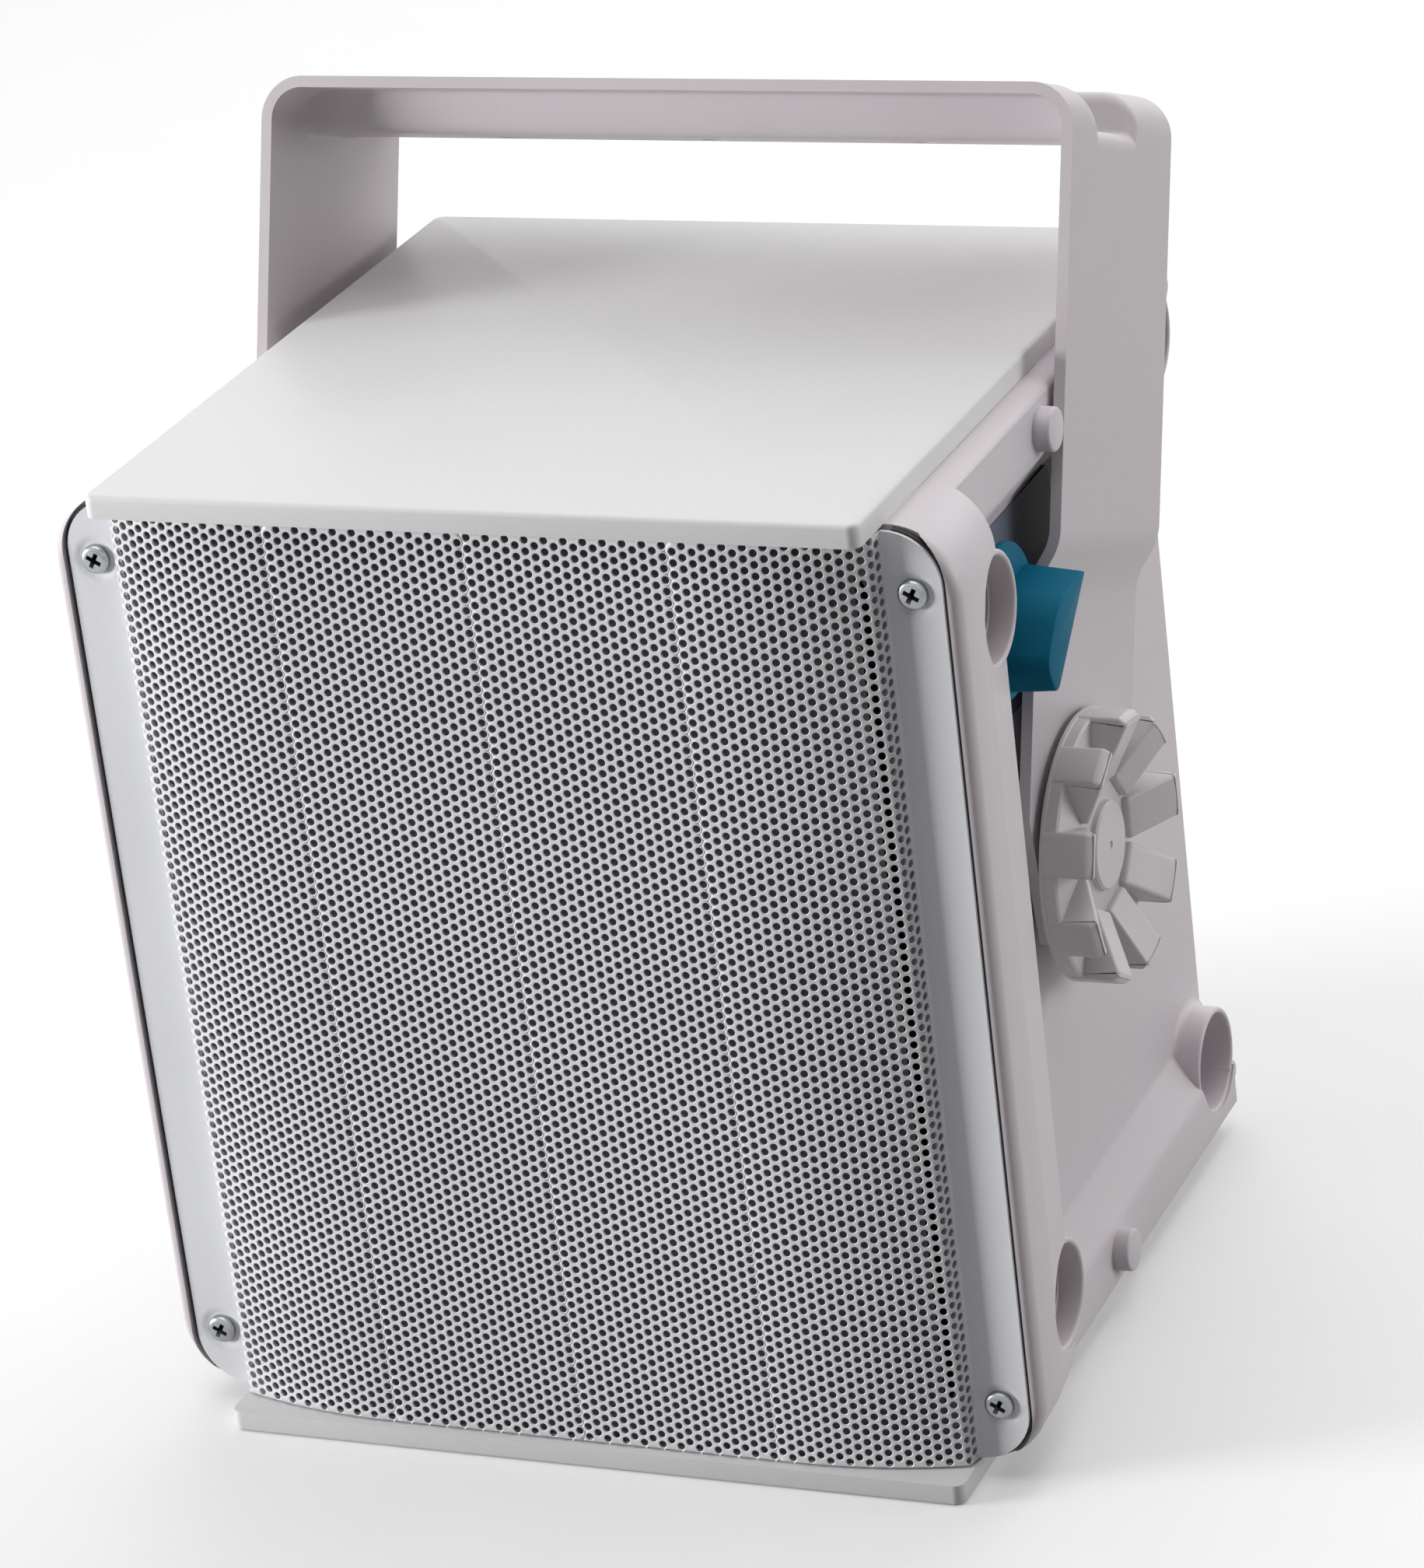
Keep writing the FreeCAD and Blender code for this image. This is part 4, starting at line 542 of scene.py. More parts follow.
class Finish:
    """A material under construction."""

    def __init__(self, name):
        self.material = bpy.data.materials.new(name)
        self.material.use_nodes = True
        self.tree = self.material.node_tree
        self.tree.nodes.clear()
        self.shader = self.tree.nodes.new("ShaderNodeBsdfPrincipled")
        output = self.tree.nodes.new("ShaderNodeOutputMaterial")
        self.tree.links.new(self.shader.outputs[0], output.inputs["Surface"])

    def feed(self, socket, value):
        if isinstance(value, Signal):
            self.tree.links.new(value.socket, socket)
        else:
            socket.default_value = value

    def node(self, kind, settings=None, inputs=None, output=0):
        made = self.tree.nodes.new(kind)
        for key, value in (settings or {}).items():
            setattr(made, key, value)
        for key, value in (inputs or {}).items():
            self.feed(made.inputs[key], value)
        return Signal(self, made.outputs[output])

    def place(self, scale=(1, 1, 1)):
        """Object coordinates, stretched along the axes."""
        coords = self.node("ShaderNodeTexCoord", output=3)
        return self.node("ShaderNodeMapping", {}, {"Vector": coords, "Scale": scale})

    def noise(self, scale, detail=3.0, stretch=(1, 1, 1)):
        return self.node(
            "ShaderNodeTexNoise", {}, {"Vector": self.place(stretch), "Scale": scale, "Detail": detail}
        )

    def ramp(self, signal, low, high):
        """A signal between low and high stretched to 0 and 1."""
        return self.node(
            "ShaderNodeMapRange",
            {"interpolation_type": "SMOOTHSTEP"},
            {"Value": signal, "From Min": low, "From Max": high},
        )

    def mix(self, factor, first, second):
        return self.node(
            "ShaderNodeMix", {"data_type": "RGBA"}, {0: factor, 6: first, 7: second}, output=2
        )

    def bump(self, height, strength, distance):
        return self.node(
            "ShaderNodeBump", {}, {"Height": height, "Strength": strength, "Distance": distance}
        )

    def set(self, **sockets):
        for key, value in sockets.items():
            self.feed(self.shader.inputs[key.replace("_", " ")], value)
        return self.material


def grey(level):
    return (level, level, level, 1.0)


def shade(colour, factor):
    return tuple(min(1.0, c * factor) for c in colour[:3]) + (1.0,)


def moulded(name, colour, roughness=0.42, grain=0.10, blush=0.05):
    """Satin moulded plastic: fine spark grain, faint flow clouds and a little uneven gloss."""
    f = Finish(name)
    clouds = f.ramp(f.noise(9.0, 2.0), 0.35, 0.65)
    specks = f.ramp(f.noise(900.0, 1.0), 0.30, 0.70)
    tone = f.mix(clouds, shade(colour, 1 - blush), shade(colour, 1 + blush * 0.5))
    tone = f.mix(specks * 0.10, tone, shade(colour, 0.86))
    skin = f.noise(2600.0, 2.0)
    gloss = clouds * 0.06 + specks * 0.05 + (roughness - 0.05)
    return f.set(
        Base_Color=tone, Roughness=gloss, Normal=f.bump(skin, grain, 0.0004), Specular_IOR_Level=0.42
    )


def painted(name, colour, roughness=0.38):
    """Powder coat on steel: orange-peel skin and slight unevenness."""
    f = Finish(name)
    drift = f.ramp(f.noise(12.0, 2.0), 0.3, 0.7)
    tone = f.mix(drift, shade(colour, 0.965), shade(colour, 1.02))
    peel = f.noise(650.0, 2.0)
    fine = f.noise(2400.0, 1.0)
    return f.set(
        Base_Color=tone,
        Roughness=drift * 0.07 + fine * 0.05 + (roughness - 0.05),
        Normal=f.bump(peel + fine * 0.4, 0.10, 0.0005),
        Specular_IOR_Level=0.45,
    )


def plated(name, colour, roughness=0.30):
    """Zinc-plated steel with fine brushed streaks and duller patches."""
    f = Finish(name)
    streaks = f.noise(260.0, 2.0, (1, 6, 1))
    patches = f.ramp(f.noise(120.0, 3.0), 0.4, 0.7)
    tone = f.mix(patches, shade(colour, 1.0), shade(colour, 0.72))
    return f.set(
        Base_Color=tone,
        Metallic=1.0,
        Roughness=streaks * 0.18 + patches * 0.14 + (roughness - 0.08),
        Normal=f.bump(streaks, 0.08, 0.0002),
    )


def woven(name, colour, thread):
    """Cloth or paper with a fine crossed weave."""
    f = Finish(name)
    inputs = {"Vector": f.place(), "Scale": 1 / thread}
    across = f.node("ShaderNodeTexWave", {"bands_direction": "X"}, inputs)
    along = f.node("ShaderNodeTexWave", {"bands_direction": "Z"}, inputs)
    weave = across * along
    tone = f.mix(weave, shade(colour, 0.6), shade(colour, 1.2))
    return f.set(Base_Color=tone, Roughness=0.9 - weave * 0.1, Normal=f.bump(weave, 0.3, 0.0003))


def rubbery(name, colour):
    """Matt black rubber with a dusty bloom."""
    f = Finish(name)
    bloom = f.ramp(f.noise(60.0, 3.0), 0.4, 0.75)
    tone = f.mix(bloom * 0.5, shade(colour, 1.0), shade(colour, 2.2))
    skin = f.bump(f.noise(800.0), 0.1, 0.0003)
    return f.set(Base_Color=tone, Roughness=0.72 + bloom * 0.15, Normal=skin)


def board(name, colour):
    """Pressed fibre board with short flakes."""
    f = Finish(name)
    flakes = f.ramp(f.noise(180.0, 4.0, (1, 1, 2.4)), 0.3, 0.7)
    tone = f.mix(flakes, shade(colour, 0.75), shade(colour, 1.15))
    return f.set(Base_Color=tone, Roughness=0.75 + flakes * 0.1, Normal=f.bump(flakes, 0.2, 0.0004))


def dyed(name, colour):
    """Satin dyed moulding with faint flow lines and handling haze."""
    f = Finish(name)
    haze = f.ramp(f.noise(55.0, 3.0), 0.4, 0.75)
    flow = f.noise(22.0, 2.0)
    tone = f.mix(flow, shade(colour, 0.94), shade(colour, 1.05))
    return f.set(
        Base_Color=tone,
        Roughness=haze * 0.10 + 0.48,
        Normal=f.bump(f.noise(900.0), 0.05, 0.0003),
        Specular_IOR_Level=0.05,
    )


def dial_print(name, colour):
    """Bare plate: a pale field round the dial, darker towards the rear."""
    f = Finish(name)
    pale_end, dark_start = DIAL.y + 0.012, DIAL.y + 0.034
    coords = f.node("ShaderNodeTexCoord", output=3)
    split = f.node("ShaderNodeSeparateXYZ", {}, {"Vector": coords}, output=1)
    away = f.ramp(split, pale_end, dark_start)
    grain = f.noise(700.0, 2.0)
    pale = f.mix(grain, (0.13, 0.155, 0.21, 1), (0.17, 0.195, 0.25, 1))
    tone = f.mix(away, pale, shade(colour, 0.45))
    return f.set(Base_Color=tone, Roughness=grain * 0.1 + 0.32, Normal=f.bump(grain, 0.05, 0.0002))


FINISHES = {}


def finish(name):
    """The named finish, made on first use."""
    if name not in FINISHES:
        look = bpy.context.scene.speaker_finishes
        made = {
            "cover_plastic": lambda n: moulded(n, look.plate, 0.45, 0.10, 0.02),
            "shell_plastic": lambda n: moulded(n, look.shell, 0.42, 0.10, 0.03),
            "cup_floor": lambda n: moulded(n, (0.40, 0.38, 0.37), 0.6, 0.4, 0.2),
            "grille_paint": lambda n: painted(n, look.grille, 0.36),
            "bracket_paint": lambda n: painted(n, look.bracket, 0.42),
            "knob_plastic": lambda n: moulded(n, look.knob, 0.40, 0.08, 0.03),
            "teal_plastic": lambda n: dyed(n, look.selector),
            "dial_plate": lambda n: dial_print(n, look.dial_plate),
            "zinc_steel": lambda n: plated(n, (0.42, 0.43, 0.45), 0.22),
            "brass": lambda n: plated(n, (0.72, 0.50, 0.20)),
            "copper_wire": lambda n: plated(n, (0.50, 0.20, 0.08), 0.4),
            "ferrite": lambda n: rubbery(n, (0.035, 0.035, 0.038)),
            "black_rubber": lambda n: rubbery(n, (0.012, 0.012, 0.012)),
            "black_cloth": lambda n: woven(n, (0.12, 0.12, 0.125), 0.0007),
            "cone_paper": lambda n: woven(n, (0.02, 0.02, 0.021), 0.0012),
            "spider_cloth": lambda n: woven(n, (0.40, 0.26, 0.09), 0.0010),
            "black_plastic": lambda n: moulded(n, (0.018, 0.018, 0.019), 0.45, 0.2, 0.1),
            "black_steel": lambda n: painted(n, (0.02, 0.02, 0.021), 0.4),
            "fibre": lambda n: board(n, (0.22, 0.07, 0.04)),
            "baffle_board": lambda n: board(n, (0.06, 0.06, 0.062)),
        }[name]
        FINISHES[name] = made(name)
    return FINISHES[name]


# Operators


class SPEAKER_OT_dress_nodes(bpy.types.Operator):
    """Give every CAD node the finish of its slot"""

    bl_idname = "speaker.dress_nodes"
    bl_label = "Dress CAD nodes"

    def execute(self, context):
        for entry in frame["record"]["subparts"]:
            node = frame["nodes"][entry["node"]]
            node.data.materials.clear()
            node.data.materials.append(finish(entry["material_slot"]))
        return {"FINISHED"}


class SPEAKER_OT_plates(bpy.types.Operator):
    """Top and bottom plates with rounded corners and edges"""

    bl_idname = "speaker.plates"
    bl_label = "Plates"

    def execute(self, context):
        sizes = context.scene.speaker_cabinet
        for node, outer in (("top_plate", 1), ("bottom_plate", -1)):
            low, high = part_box(node)
            bm = bmesh.new()
            corners = ((low.x, low.y), (high.x, low.y), (high.x, high.y), (low.x, high.y))
            new_face(bm, [(x, y, low.z) for x, y in corners])
            face = round_face(bm, sizes.plate_corner, 6)
            raise_face(bm, face, (0, 0, high.z - low.z))
            tidy(bm)
            rim = edges_at(bm, Z, high.z if outer > 0 else low.z)
            bevel_edges(bm, rim, sizes.plate_edge, 3)
            piece = as_object(node + "_moulding", bm)
            place(piece, "cabinet", finish("cover_plastic"), (node,))
        return {"FINISHED"}


def front_cup_tool(sizes, z):
    """Turned hollow of a front cup: rounded mouth, ledge and shallow well."""
    rim, bore, lip = sizes.front_cup_rim, sizes.front_cup_bore, sizes.front_cup_lip
    ledge = rim - sizes.front_cup_ledge
    floor = ledge - sizes.front_cup_floor
    outline = [(0, floor), (sizes.front_cup_well, floor), (sizes.front_cup_well, ledge), (bore, ledge)]
    outline += arc(bore + lip, rim - lip, lip, 180, 90, 4)
    outline += [(bore + lip, rim + CUT_PAST), (0, rim + CUT_PAST)]
    return turned_x(outline, depth(sizes.front_cup_depth), z, CUP_STEPS)


def front_cup_boss(sizes, z):
    """Body of a front cup."""
    radius = sizes.front_cup_bore + sizes.front_cup_wall
    outline = soft_rod(radius, sizes.front_cup_foot, sizes.front_cup_rim, SOFT_EDGE)
    return turned_x(outline, depth(sizes.front_cup_depth), z, CUP_STEPS)


class SPEAKER_OT_front_frame(bpy.types.Operator):
    """Front frame: a lofted ring with a flange pocket, a window and side cups"""

    bl_idname = "speaker.front_frame"
    bl_label = "Front frame"

    def execute(self, context):
        sizes = context.scene.speaker_cabinet
        grille = context.scene.speaker_grille
        stations = [
            (sizes.frame_rear, sizes.frame_rear_half, INNER_HALF),
            (sizes.frame_crease, sizes.frame_crease_half, INNER_HALF),
            (sizes.frame_shoulder, sizes.frame_half, INNER_HALF),
        ]
        forward = sizes.frame_shoulder - sizes.frame_front
        for turn in (math.pi / 2 * k / 5 for k in range(1, 6)):
            inset = sizes.frame_rim * (1 - math.cos(turn))
            near = sizes.frame_shoulder - forward * math.sin(turn)
            tall = INNER_HALF - inset * sizes.frame_rim_share
            stations.append((near, sizes.frame_half - inset, tall))
        bm = bmesh.new()
        before = stations[0]
        corners = rectangle(before[1], before[2])
        new_face(bm, [(x, depth(before[0]), MID + z) for x, z in corners])
        cap = round_face(bm, sizes.frame_corner, 16)
        about = Matrix.Translation((0, 0, -MID))
        for station in stations[1:]:
            cap = raise_face(bm, cap, (0, station[0] - before[0], 0), before is stations[0])
            grow = (station[1] / before[1], 1, station[2] / before[2])
            bmesh.ops.scale(bm, vec=grow, space=about, verts=list(cap.verts))
            before = station
        piece = as_object("front_frame_moulding", tidy(bm))
        rows = (MID - sizes.front_cup_rise, MID + sizes.front_cup_rise)
        bosses = [b for z in rows for b in both_sides(front_cup_boss, sizes, z)]
        carve(piece, bosses, "UNION")
        gap = sizes.flange_gap
        front, behind = sizes.frame_front - CUT_PAST, sizes.frame_rear + CUT_PAST
        tools = [
            rounded_block(
                grille.flange_half + gap,
                grille.half_height + gap,
                grille.flange_corner + gap,
                front,
                sizes.flange_pocket,
                16,
            ),
            rounded_block(
                sizes.window_half_width, sizes.window_half_height, sizes.window_corner, front, behind, 6
            ),
            rounded_block(
                sizes.baffle_half_width, sizes.baffle_half_height, 0, sizes.baffle_seat, behind
            ),
        ]
        tools += [t for z in rows for t in both_sides(front_cup_tool, sizes, z)]
        carve(piece, tools, "DIFFERENCE")
        soften(piece, FINE_EDGE)
        place(piece, "cabinet", finish("shell_plastic"), ("front_frame",))
        return {"FINISHED"}


def rail_half(sizes, distance):
    """Half width over the rails at a distance behind the plates' front edge."""
    return sizes.rail_front_half - sizes.side_taper * (distance - sizes.frame_rear)


def recess_tool(sizes):
    """Cutter for the right side's recess: coved base, sloping flanks and rounded crests."""
    past, skin, run_out, clear = 0.008, 0.0004, 0.006, 0.03
    start, end = sizes.frame_rear - past, LENGTH + past
    base, crest = sizes.recess_half, sizes.recess_half + sizes.recess_flank
    half = [(-sizes.recess_depth, base), (-skin, crest)]
    half += [(skin, crest + run_out), (clear, crest + run_out)]
    outline = [(out, -z) for out, z in reversed(half)] + half
    side = rail_half(sizes, start)
    bm = bmesh.new()
    new_face(bm, [(side + out, depth(start), MID + z) for out, z in outline])
    inner, y = side - sizes.recess_depth, depth(start)
    corners = []
    for sign in (-1, 1):
        corners.append(((inner, y, MID + sign * base), sizes.recess_cove))
        corners.append(((side - skin, y, MID + sign * crest), sizes.recess_crest))
    length = end - start
    raise_face(bm, round_corners(bm, corners), (-sizes.side_taper * length, length, 0))
    return tidy(bm)


def cavity_tool(sizes):
    """Cutter for the housing's inside, open at the front, the top and the bottom."""
    front, rear = sizes.frame_rear - CUT_PAST, sizes.cavity_end
    inner = [rail_half(sizes, d) - sizes.recess_depth - sizes.wall for d in (front, rear)]
    plan = ((-inner[0], front), (inner[0], front), (inner[1], rear), (-inner[1], rear))
    bm = bmesh.new()
    face = new_face(bm, [(x, depth(y), -CUT_PAST) for x, y in plan])
    raise_face(bm, face, (0, 0, TOP + 2 * CUT_PAST))
    return tidy(bm)


def rear_cup_tube(sizes, z):
    """Turned cup with a coved foot and a rounded rim."""
    bore, rim, cove = sizes.rear_cup_bore, sizes.rear_cup_rim, sizes.rear_cup_cove
    outer, lip = bore + sizes.rear_cup_wall, sizes.rear_cup_wall / 2
    foot, floor = sizes.rear_cup_foot, rim - sizes.rear_cup_well
    panel = rail_half(sizes, LENGTH - sizes.rear_cup_inset) - sizes.recess_depth
    sunk, fillet = 0.001, 0.001
    outline = [(0, foot), (outer, foot), (outer, panel - sunk), (outer + cove, panel - sunk)]
    outline += arc(outer + cove, panel + cove, cove, 270, 180, 4)
    outline += arc(outer - lip, rim - lip, lip, 0, 180, 6)
    outline += [(bore, floor + fillet), (bore - fillet, floor), (0, floor)]
    return turned_x(outline, PLATE_HIGH.y - sizes.rear_cup_inset, z, CUP_STEPS)


def rear_cup_tool(sizes, z):
    """Hole for a rear cup in the housing's side."""
    rim = sizes.rear_cup_rim
    radius = sizes.rear_cup_bore + sizes.rear_cup_wall / 2
    start, end = rim - sizes.rear_cup_well - CUP_GAP, rim + CUT_PAST
    return plain_rod(radius, start, end, PLATE_HIGH.y - sizes.rear_cup_inset, z, CUP_STEPS)


def cup_clearance(sizes, z):
    """Room for a front cup in the housing's side."""
    radius = sizes.front_cup_bore + sizes.front_cup_wall + CUP_GAP
    start, end = sizes.front_cup_foot - CUP_GAP, sizes.frame_half + CUT_PAST
    return plain_rod(radius, start, end, depth(sizes.front_cup_depth), z, CUP_STEPS)


def stop_peg(sizes, z):
    outline = soft_rod(sizes.peg_radius, sizes.peg_foot, sizes.peg_end, SOFT_EDGE)
    return turned_x(outline, depth(sizes.peg_depth), z, 48)


def cup_nub(sizes, z):
    outline = soft_rod(sizes.nub_radius, sizes.nub_foot, sizes.rear_cup_rim, FINE_EDGE)
    return turned_x(outline, PLATE_HIGH.y + sizes.nub_out, z, 24)


def pivot_boss(sizes):
    outline = soft_rod(sizes.boss_radius, sizes.boss_foot, sizes.boss_face, FINE_EDGE)
    return turned_x(outline, PIVOT.y, PIVOT.z, CUP_STEPS)


class SPEAKER_OT_rear_housing(bpy.types.Operator):
    """Rear housing: a tapered tub with recessed sides, rails, pegs and cups"""

    bl_idname = "speaker.rear_housing"
    bl_label = "Rear housing"

    def execute(self, context):
        sizes = context.scene.speaker_cabinet
        front, rear = sizes.frame_rear, LENGTH
        wide, narrow = rail_half(sizes, front), rail_half(sizes, rear)
        bm = rounded_block(sizes.frame_rear_half, INNER_HALF, sizes.frame_corner, front, rear, 16)
        for sign in (-1, 1):
            normal = Vector((sign * (rear - front), wide - narrow, 0)).normalized()
            cut_plane(bm, (sign * wide, depth(front), 0), normal, clear=True)
        bmesh.ops.holes_fill(bm, edges=[e for e in bm.edges if e.is_boundary], sides=0)
        tidy(bm)
        long = [e for e in bm.edges if span(e, Y) > (rear - front) / 2]
        side = [e for e in long if min(abs(v.co.x) for v in e.verts) > narrow - 10 * NEAR]
        bevel_edges(bm, side, sizes.rail_edge, 3)
        piece = as_object("rear_housing_moulding", bm)
        carve(piece, both_sides(recess_tool, sizes), "DIFFERENCE")
        cup_rows = (MID - sizes.rear_cup_rise, MID + sizes.rear_cup_rise)
        front_rows = (MID - sizes.front_cup_rise, MID + sizes.front_cup_rise)
        inside, behind = sizes.cavity_end - CUT_PAST, rear + CUT_PAST
        tools = [
            cavity_tool(sizes),
            rounded_block(sizes.back_half_width, sizes.back_half_height, 0, inside, behind),
            rounded_block(sizes.panel_half_width, sizes.panel_half_height, 0, sizes.panel_seat, behind),
        ]
        tools += [t for z in cup_rows for t in both_sides(rear_cup_tool, sizes, z)]
        tools += [t for z in front_rows for t in both_sides(cup_clearance, sizes, z)]
        bore = (sizes.bore_start, sizes.frame_half + CUT_PAST)
        tools += both_sides(plain_rod, sizes.stud_bore, *bore, PIVOT.y, PIVOT.z, 40)
        tools.append(plain_rod(sizes.shaft_bore, *bore, DIAL.y, DIAL.z, 40))
        carve(piece, tools, "DIFFERENCE")
        soften(piece, sizes.housing_edge, angle=40.0)
        place(piece, "cabinet", finish("shell_plastic"), ("rear_housing",))
        extras = []
        for z in cup_rows:
            extras += both_sides(rear_cup_tube, sizes, z)
        for z in (MID - sizes.peg_rise, MID + sizes.peg_rise):
            extras += both_sides(stop_peg, sizes, z)
            extras += both_sides(cup_nub, sizes, z)
        extras += both_sides(pivot_boss, sizes)
        details = as_object("housing_cups_and_pegs", join(*extras))
        place(details, "cabinet", finish("shell_plastic"))
        return {"FINISHED"}


def grille_path(sizes, along):
    """Place of the bowed sheet at a distance along it from the middle."""
    side = math.copysign(1, along)
    length = abs(along)
    edge_turn = math.asin((sizes.face_half - sizes.flat_half) / sizes.bow)
    turn = max(0.0, min((length - sizes.flat_half) / sizes.bow, edge_turn))
    x = min(length, sizes.flat_half) + sizes.bow * math.sin(turn)
    y = depth(sizes.set_back) + sizes.bow * (1 - math.cos(turn))
    rest = length - sizes.flat_half - sizes.bow * edge_turn
    if rest > 0:
        turn = edge_turn + min(rest / sizes.knuckle, sizes.wall_turn - edge_turn)
        x += sizes.knuckle * (math.sin(turn) - math.sin(edge_turn))
        y += sizes.knuckle * (math.cos(edge_turn) - math.cos(turn))
        wall = max(0.0, rest - sizes.knuckle * (sizes.wall_turn - edge_turn))
        x += wall * math.cos(sizes.wall_turn)
        y += wall * math.sin(sizes.wall_turn)
    return Vector((side * x, y, 0))


def punched_column(sizes, count):
    """Upright run of hexagons, with a hole in each."""
    bm = bmesh.new()
    edge = sizes.hole_edge
    bmesh.ops.create_circle(bm, cap_ends=False, segments=12, radius=sizes.hole / 2 + edge)
    mouth = list(bm.edges)
    turn = Matrix.Rotation(math.radians(30), 4, "Z")
    bmesh.ops.create_circle(
        bm, cap_ends=False, segments=6, radius=sizes.pitch / math.sqrt(3), matrix=turn
    )
    bmesh.ops.bridge_loops(bm, edges=list(bm.edges))
    verts = new_verts(bmesh.ops.extrude_edge_only(bm, edges=mouth))
    shrink = sizes.hole / (sizes.hole + 2 * edge)
    bmesh.ops.scale(bm, vec=(shrink, shrink, 1), verts=verts)
    bmesh.ops.translate(bm, vec=(0, 0, -edge), verts=verts)
    cell = everything(bm)
    for row in range(1, count):
        verts = new_verts(bmesh.ops.duplicate(bm, geom=cell))
        bmesh.ops.translate(bm, verts=verts, vec=(0, sizes.pitch * row, 0))
    return bm


def column_step(sizes):
    """Distance between neighbouring columns of holes."""
    return sizes.pitch * math.sqrt(3) / 2


def punched_strip(sizes, columns):
    """Part of the flat sheet: neighbouring columns of holes, each half a pitch from the next."""
    step = column_step(sizes)
    rows = int((sizes.half_height - sizes.hole / 2) / sizes.pitch)
    strip = []
    for column in columns:
        odd = column % 2
        bm = punched_column(sizes, 2 * rows + 1 - odd)
        offset = (step * column, (odd / 2 - rows) * sizes.pitch, 0)
        bmesh.ops.translate(bm, verts=list(bm.verts), vec=offset)
        strip.append(bm)
    bm = join(*strip)
    merge = sizes.pitch * 0.02
    bmesh.ops.remove_doubles(bm, verts=list(bm.verts), dist=merge)
    outer = [e for e in bm.edges if e.is_boundary and e.calc_length() > sizes.hole / 2]
    border = {v for e in outer for v in e.verts}
    side = step * (sizes.columns + 0.5)
    for v in border:
        if abs(v.co.y) > (rows - 0.1) * sizes.pitch:
            v.co.y = math.copysign(sizes.half_height, v.co.y)
        if abs(v.co.x) > step * (sizes.columns + 0.2):
            v.co.x = math.copysign(side, v.co.x)
    return bm


def flat_cloth(sizes):
    """The cloth behind the grille's face, before bending."""
    bm = bmesh.new()
    bmesh.ops.create_grid(bm, x_segments=48, y_segments=1, size=1.0)
    reach, rise = sizes.face_half - sizes.cloth_inset, sizes.half_height - sizes.cloth_gap
    bmesh.ops.scale(bm, vec=(reach, rise, 1), verts=list(bm.verts))
    bmesh.ops.translate(bm, vec=(0, 0, -sizes.sheet - sizes.cloth_gap), verts=list(bm.verts))
    return bm


def face_front(bm):
    """Turn an open sheet's faces towards the front."""
    bmesh.ops.recalc_face_normals(bm, faces=list(bm.faces))
    if sum(f.normal.y for f in bm.faces) > 0:
        bmesh.ops.reverse_faces(bm, faces=list(bm.faces))


def bowed_sheet(name, sizes, bm, thickness):
    """A flat sheet bent to the grille's bowed face and given its thickness."""
    for v in bm.verts:
        spot = grille_path(sizes, v.co.x)
        along = (grille_path(sizes, v.co.x + 10 * NEAR) - spot).normalized()
        v.co = (spot.x + along.y * v.co.z, spot.y - along.x * v.co.z, MID + v.co.y)
    face_front(bm)
    piece = as_object(name, bm)
    thicken(piece, thickness)
    return piece


def side_flange(sizes, root_x, root_y):
    """Right flange: a thin strip with a rounded root, rounded corners and pressed dimples."""
    half, corner = sizes.half_height, sizes.flange_corner
    inner, outer = root_x + sizes.root_gap, sizes.flange_half
    front = depth(sizes.flange_set)
    outline = [(inner, -half)] + arc(outer - corner, corner - half, corner, -90, 0, 12)
    upper = [(x, -z) for x, z in reversed(outline)]
    bm = bmesh.new()
    new_face(bm, [(x, front, MID + z) for x, z in outline + upper])
    strips, rows, row_step = 15, 7, 0.001
    for k in range(1, strips):
        cut_plane(bm, (inner + (outer - inner) * k / strips, 0, 0), (1, 0, 0))
    for sign in (-1, 1):
        for k in range(-rows, rows + 1):
            cut_plane(bm, (0, 0, MID + sign * sizes.screw_rise + k * row_step), (0, 0, 1))
    for v in bm.verts:
        off = math.hypot(v.co.x - sizes.screw_x, abs(v.co.z - MID) - sizes.screw_rise)
        share = max(0.0, min(1.0, (sizes.dimple - off) / sizes.dimple_slope))
        v.co.y += sizes.dimple_depth * share * share * (3 - 2 * share)
    for v in new_verts(bmesh.ops.extrude_edge_only(bm, edges=edges_at(bm, X, inner))):
        v.co.x = root_x
        v.co.y = root_y
    face_front(bm)
    bmesh.ops.solidify(bm, geom=list(bm.faces), thickness=sizes.sheet)
    return bm


class SPEAKER_OT_grille(bpy.types.Operator):
    """Perforated grille: a flat punched sheet bent to the bowed face, with side flanges"""

    bl_idname = "speaker.grille"
    bl_label = "Grille"

    def execute(self, context):
        sizes = context.scene.speaker_grille
        count = sizes.columns
        cuts = (-count, -count // 2, 0, count // 2 + 1, count + 1)
        for index, (first, after) in enumerate(zip(cuts, cuts[1:])):
            bm = punched_strip(sizes, range(first, after))
            piece = bowed_sheet("grille_mesh_%d" % (index + 1), sizes, bm, sizes.sheet)
            stands_for = ("grille",) if index == 0 else ()
            place(piece, "cabinet", finish("grille_paint"), stands_for, 40.0)
        end = grille_path(sizes, column_step(sizes) * (count + 0.5))
        flanges = as_object("grille_flanges", join(*both_sides(side_flange, sizes, end.x, end.y)))
        place(flanges, "cabinet", finish("grille_paint"), (), 50.0)
        cloth = bowed_sheet("grille_cloth_sheet", sizes, flat_cloth(sizes), sizes.cloth)
        place(cloth, "cabinet", finish("black_cloth"), ("grille_cloth",), 40.0)
        return {"FINISHED"}


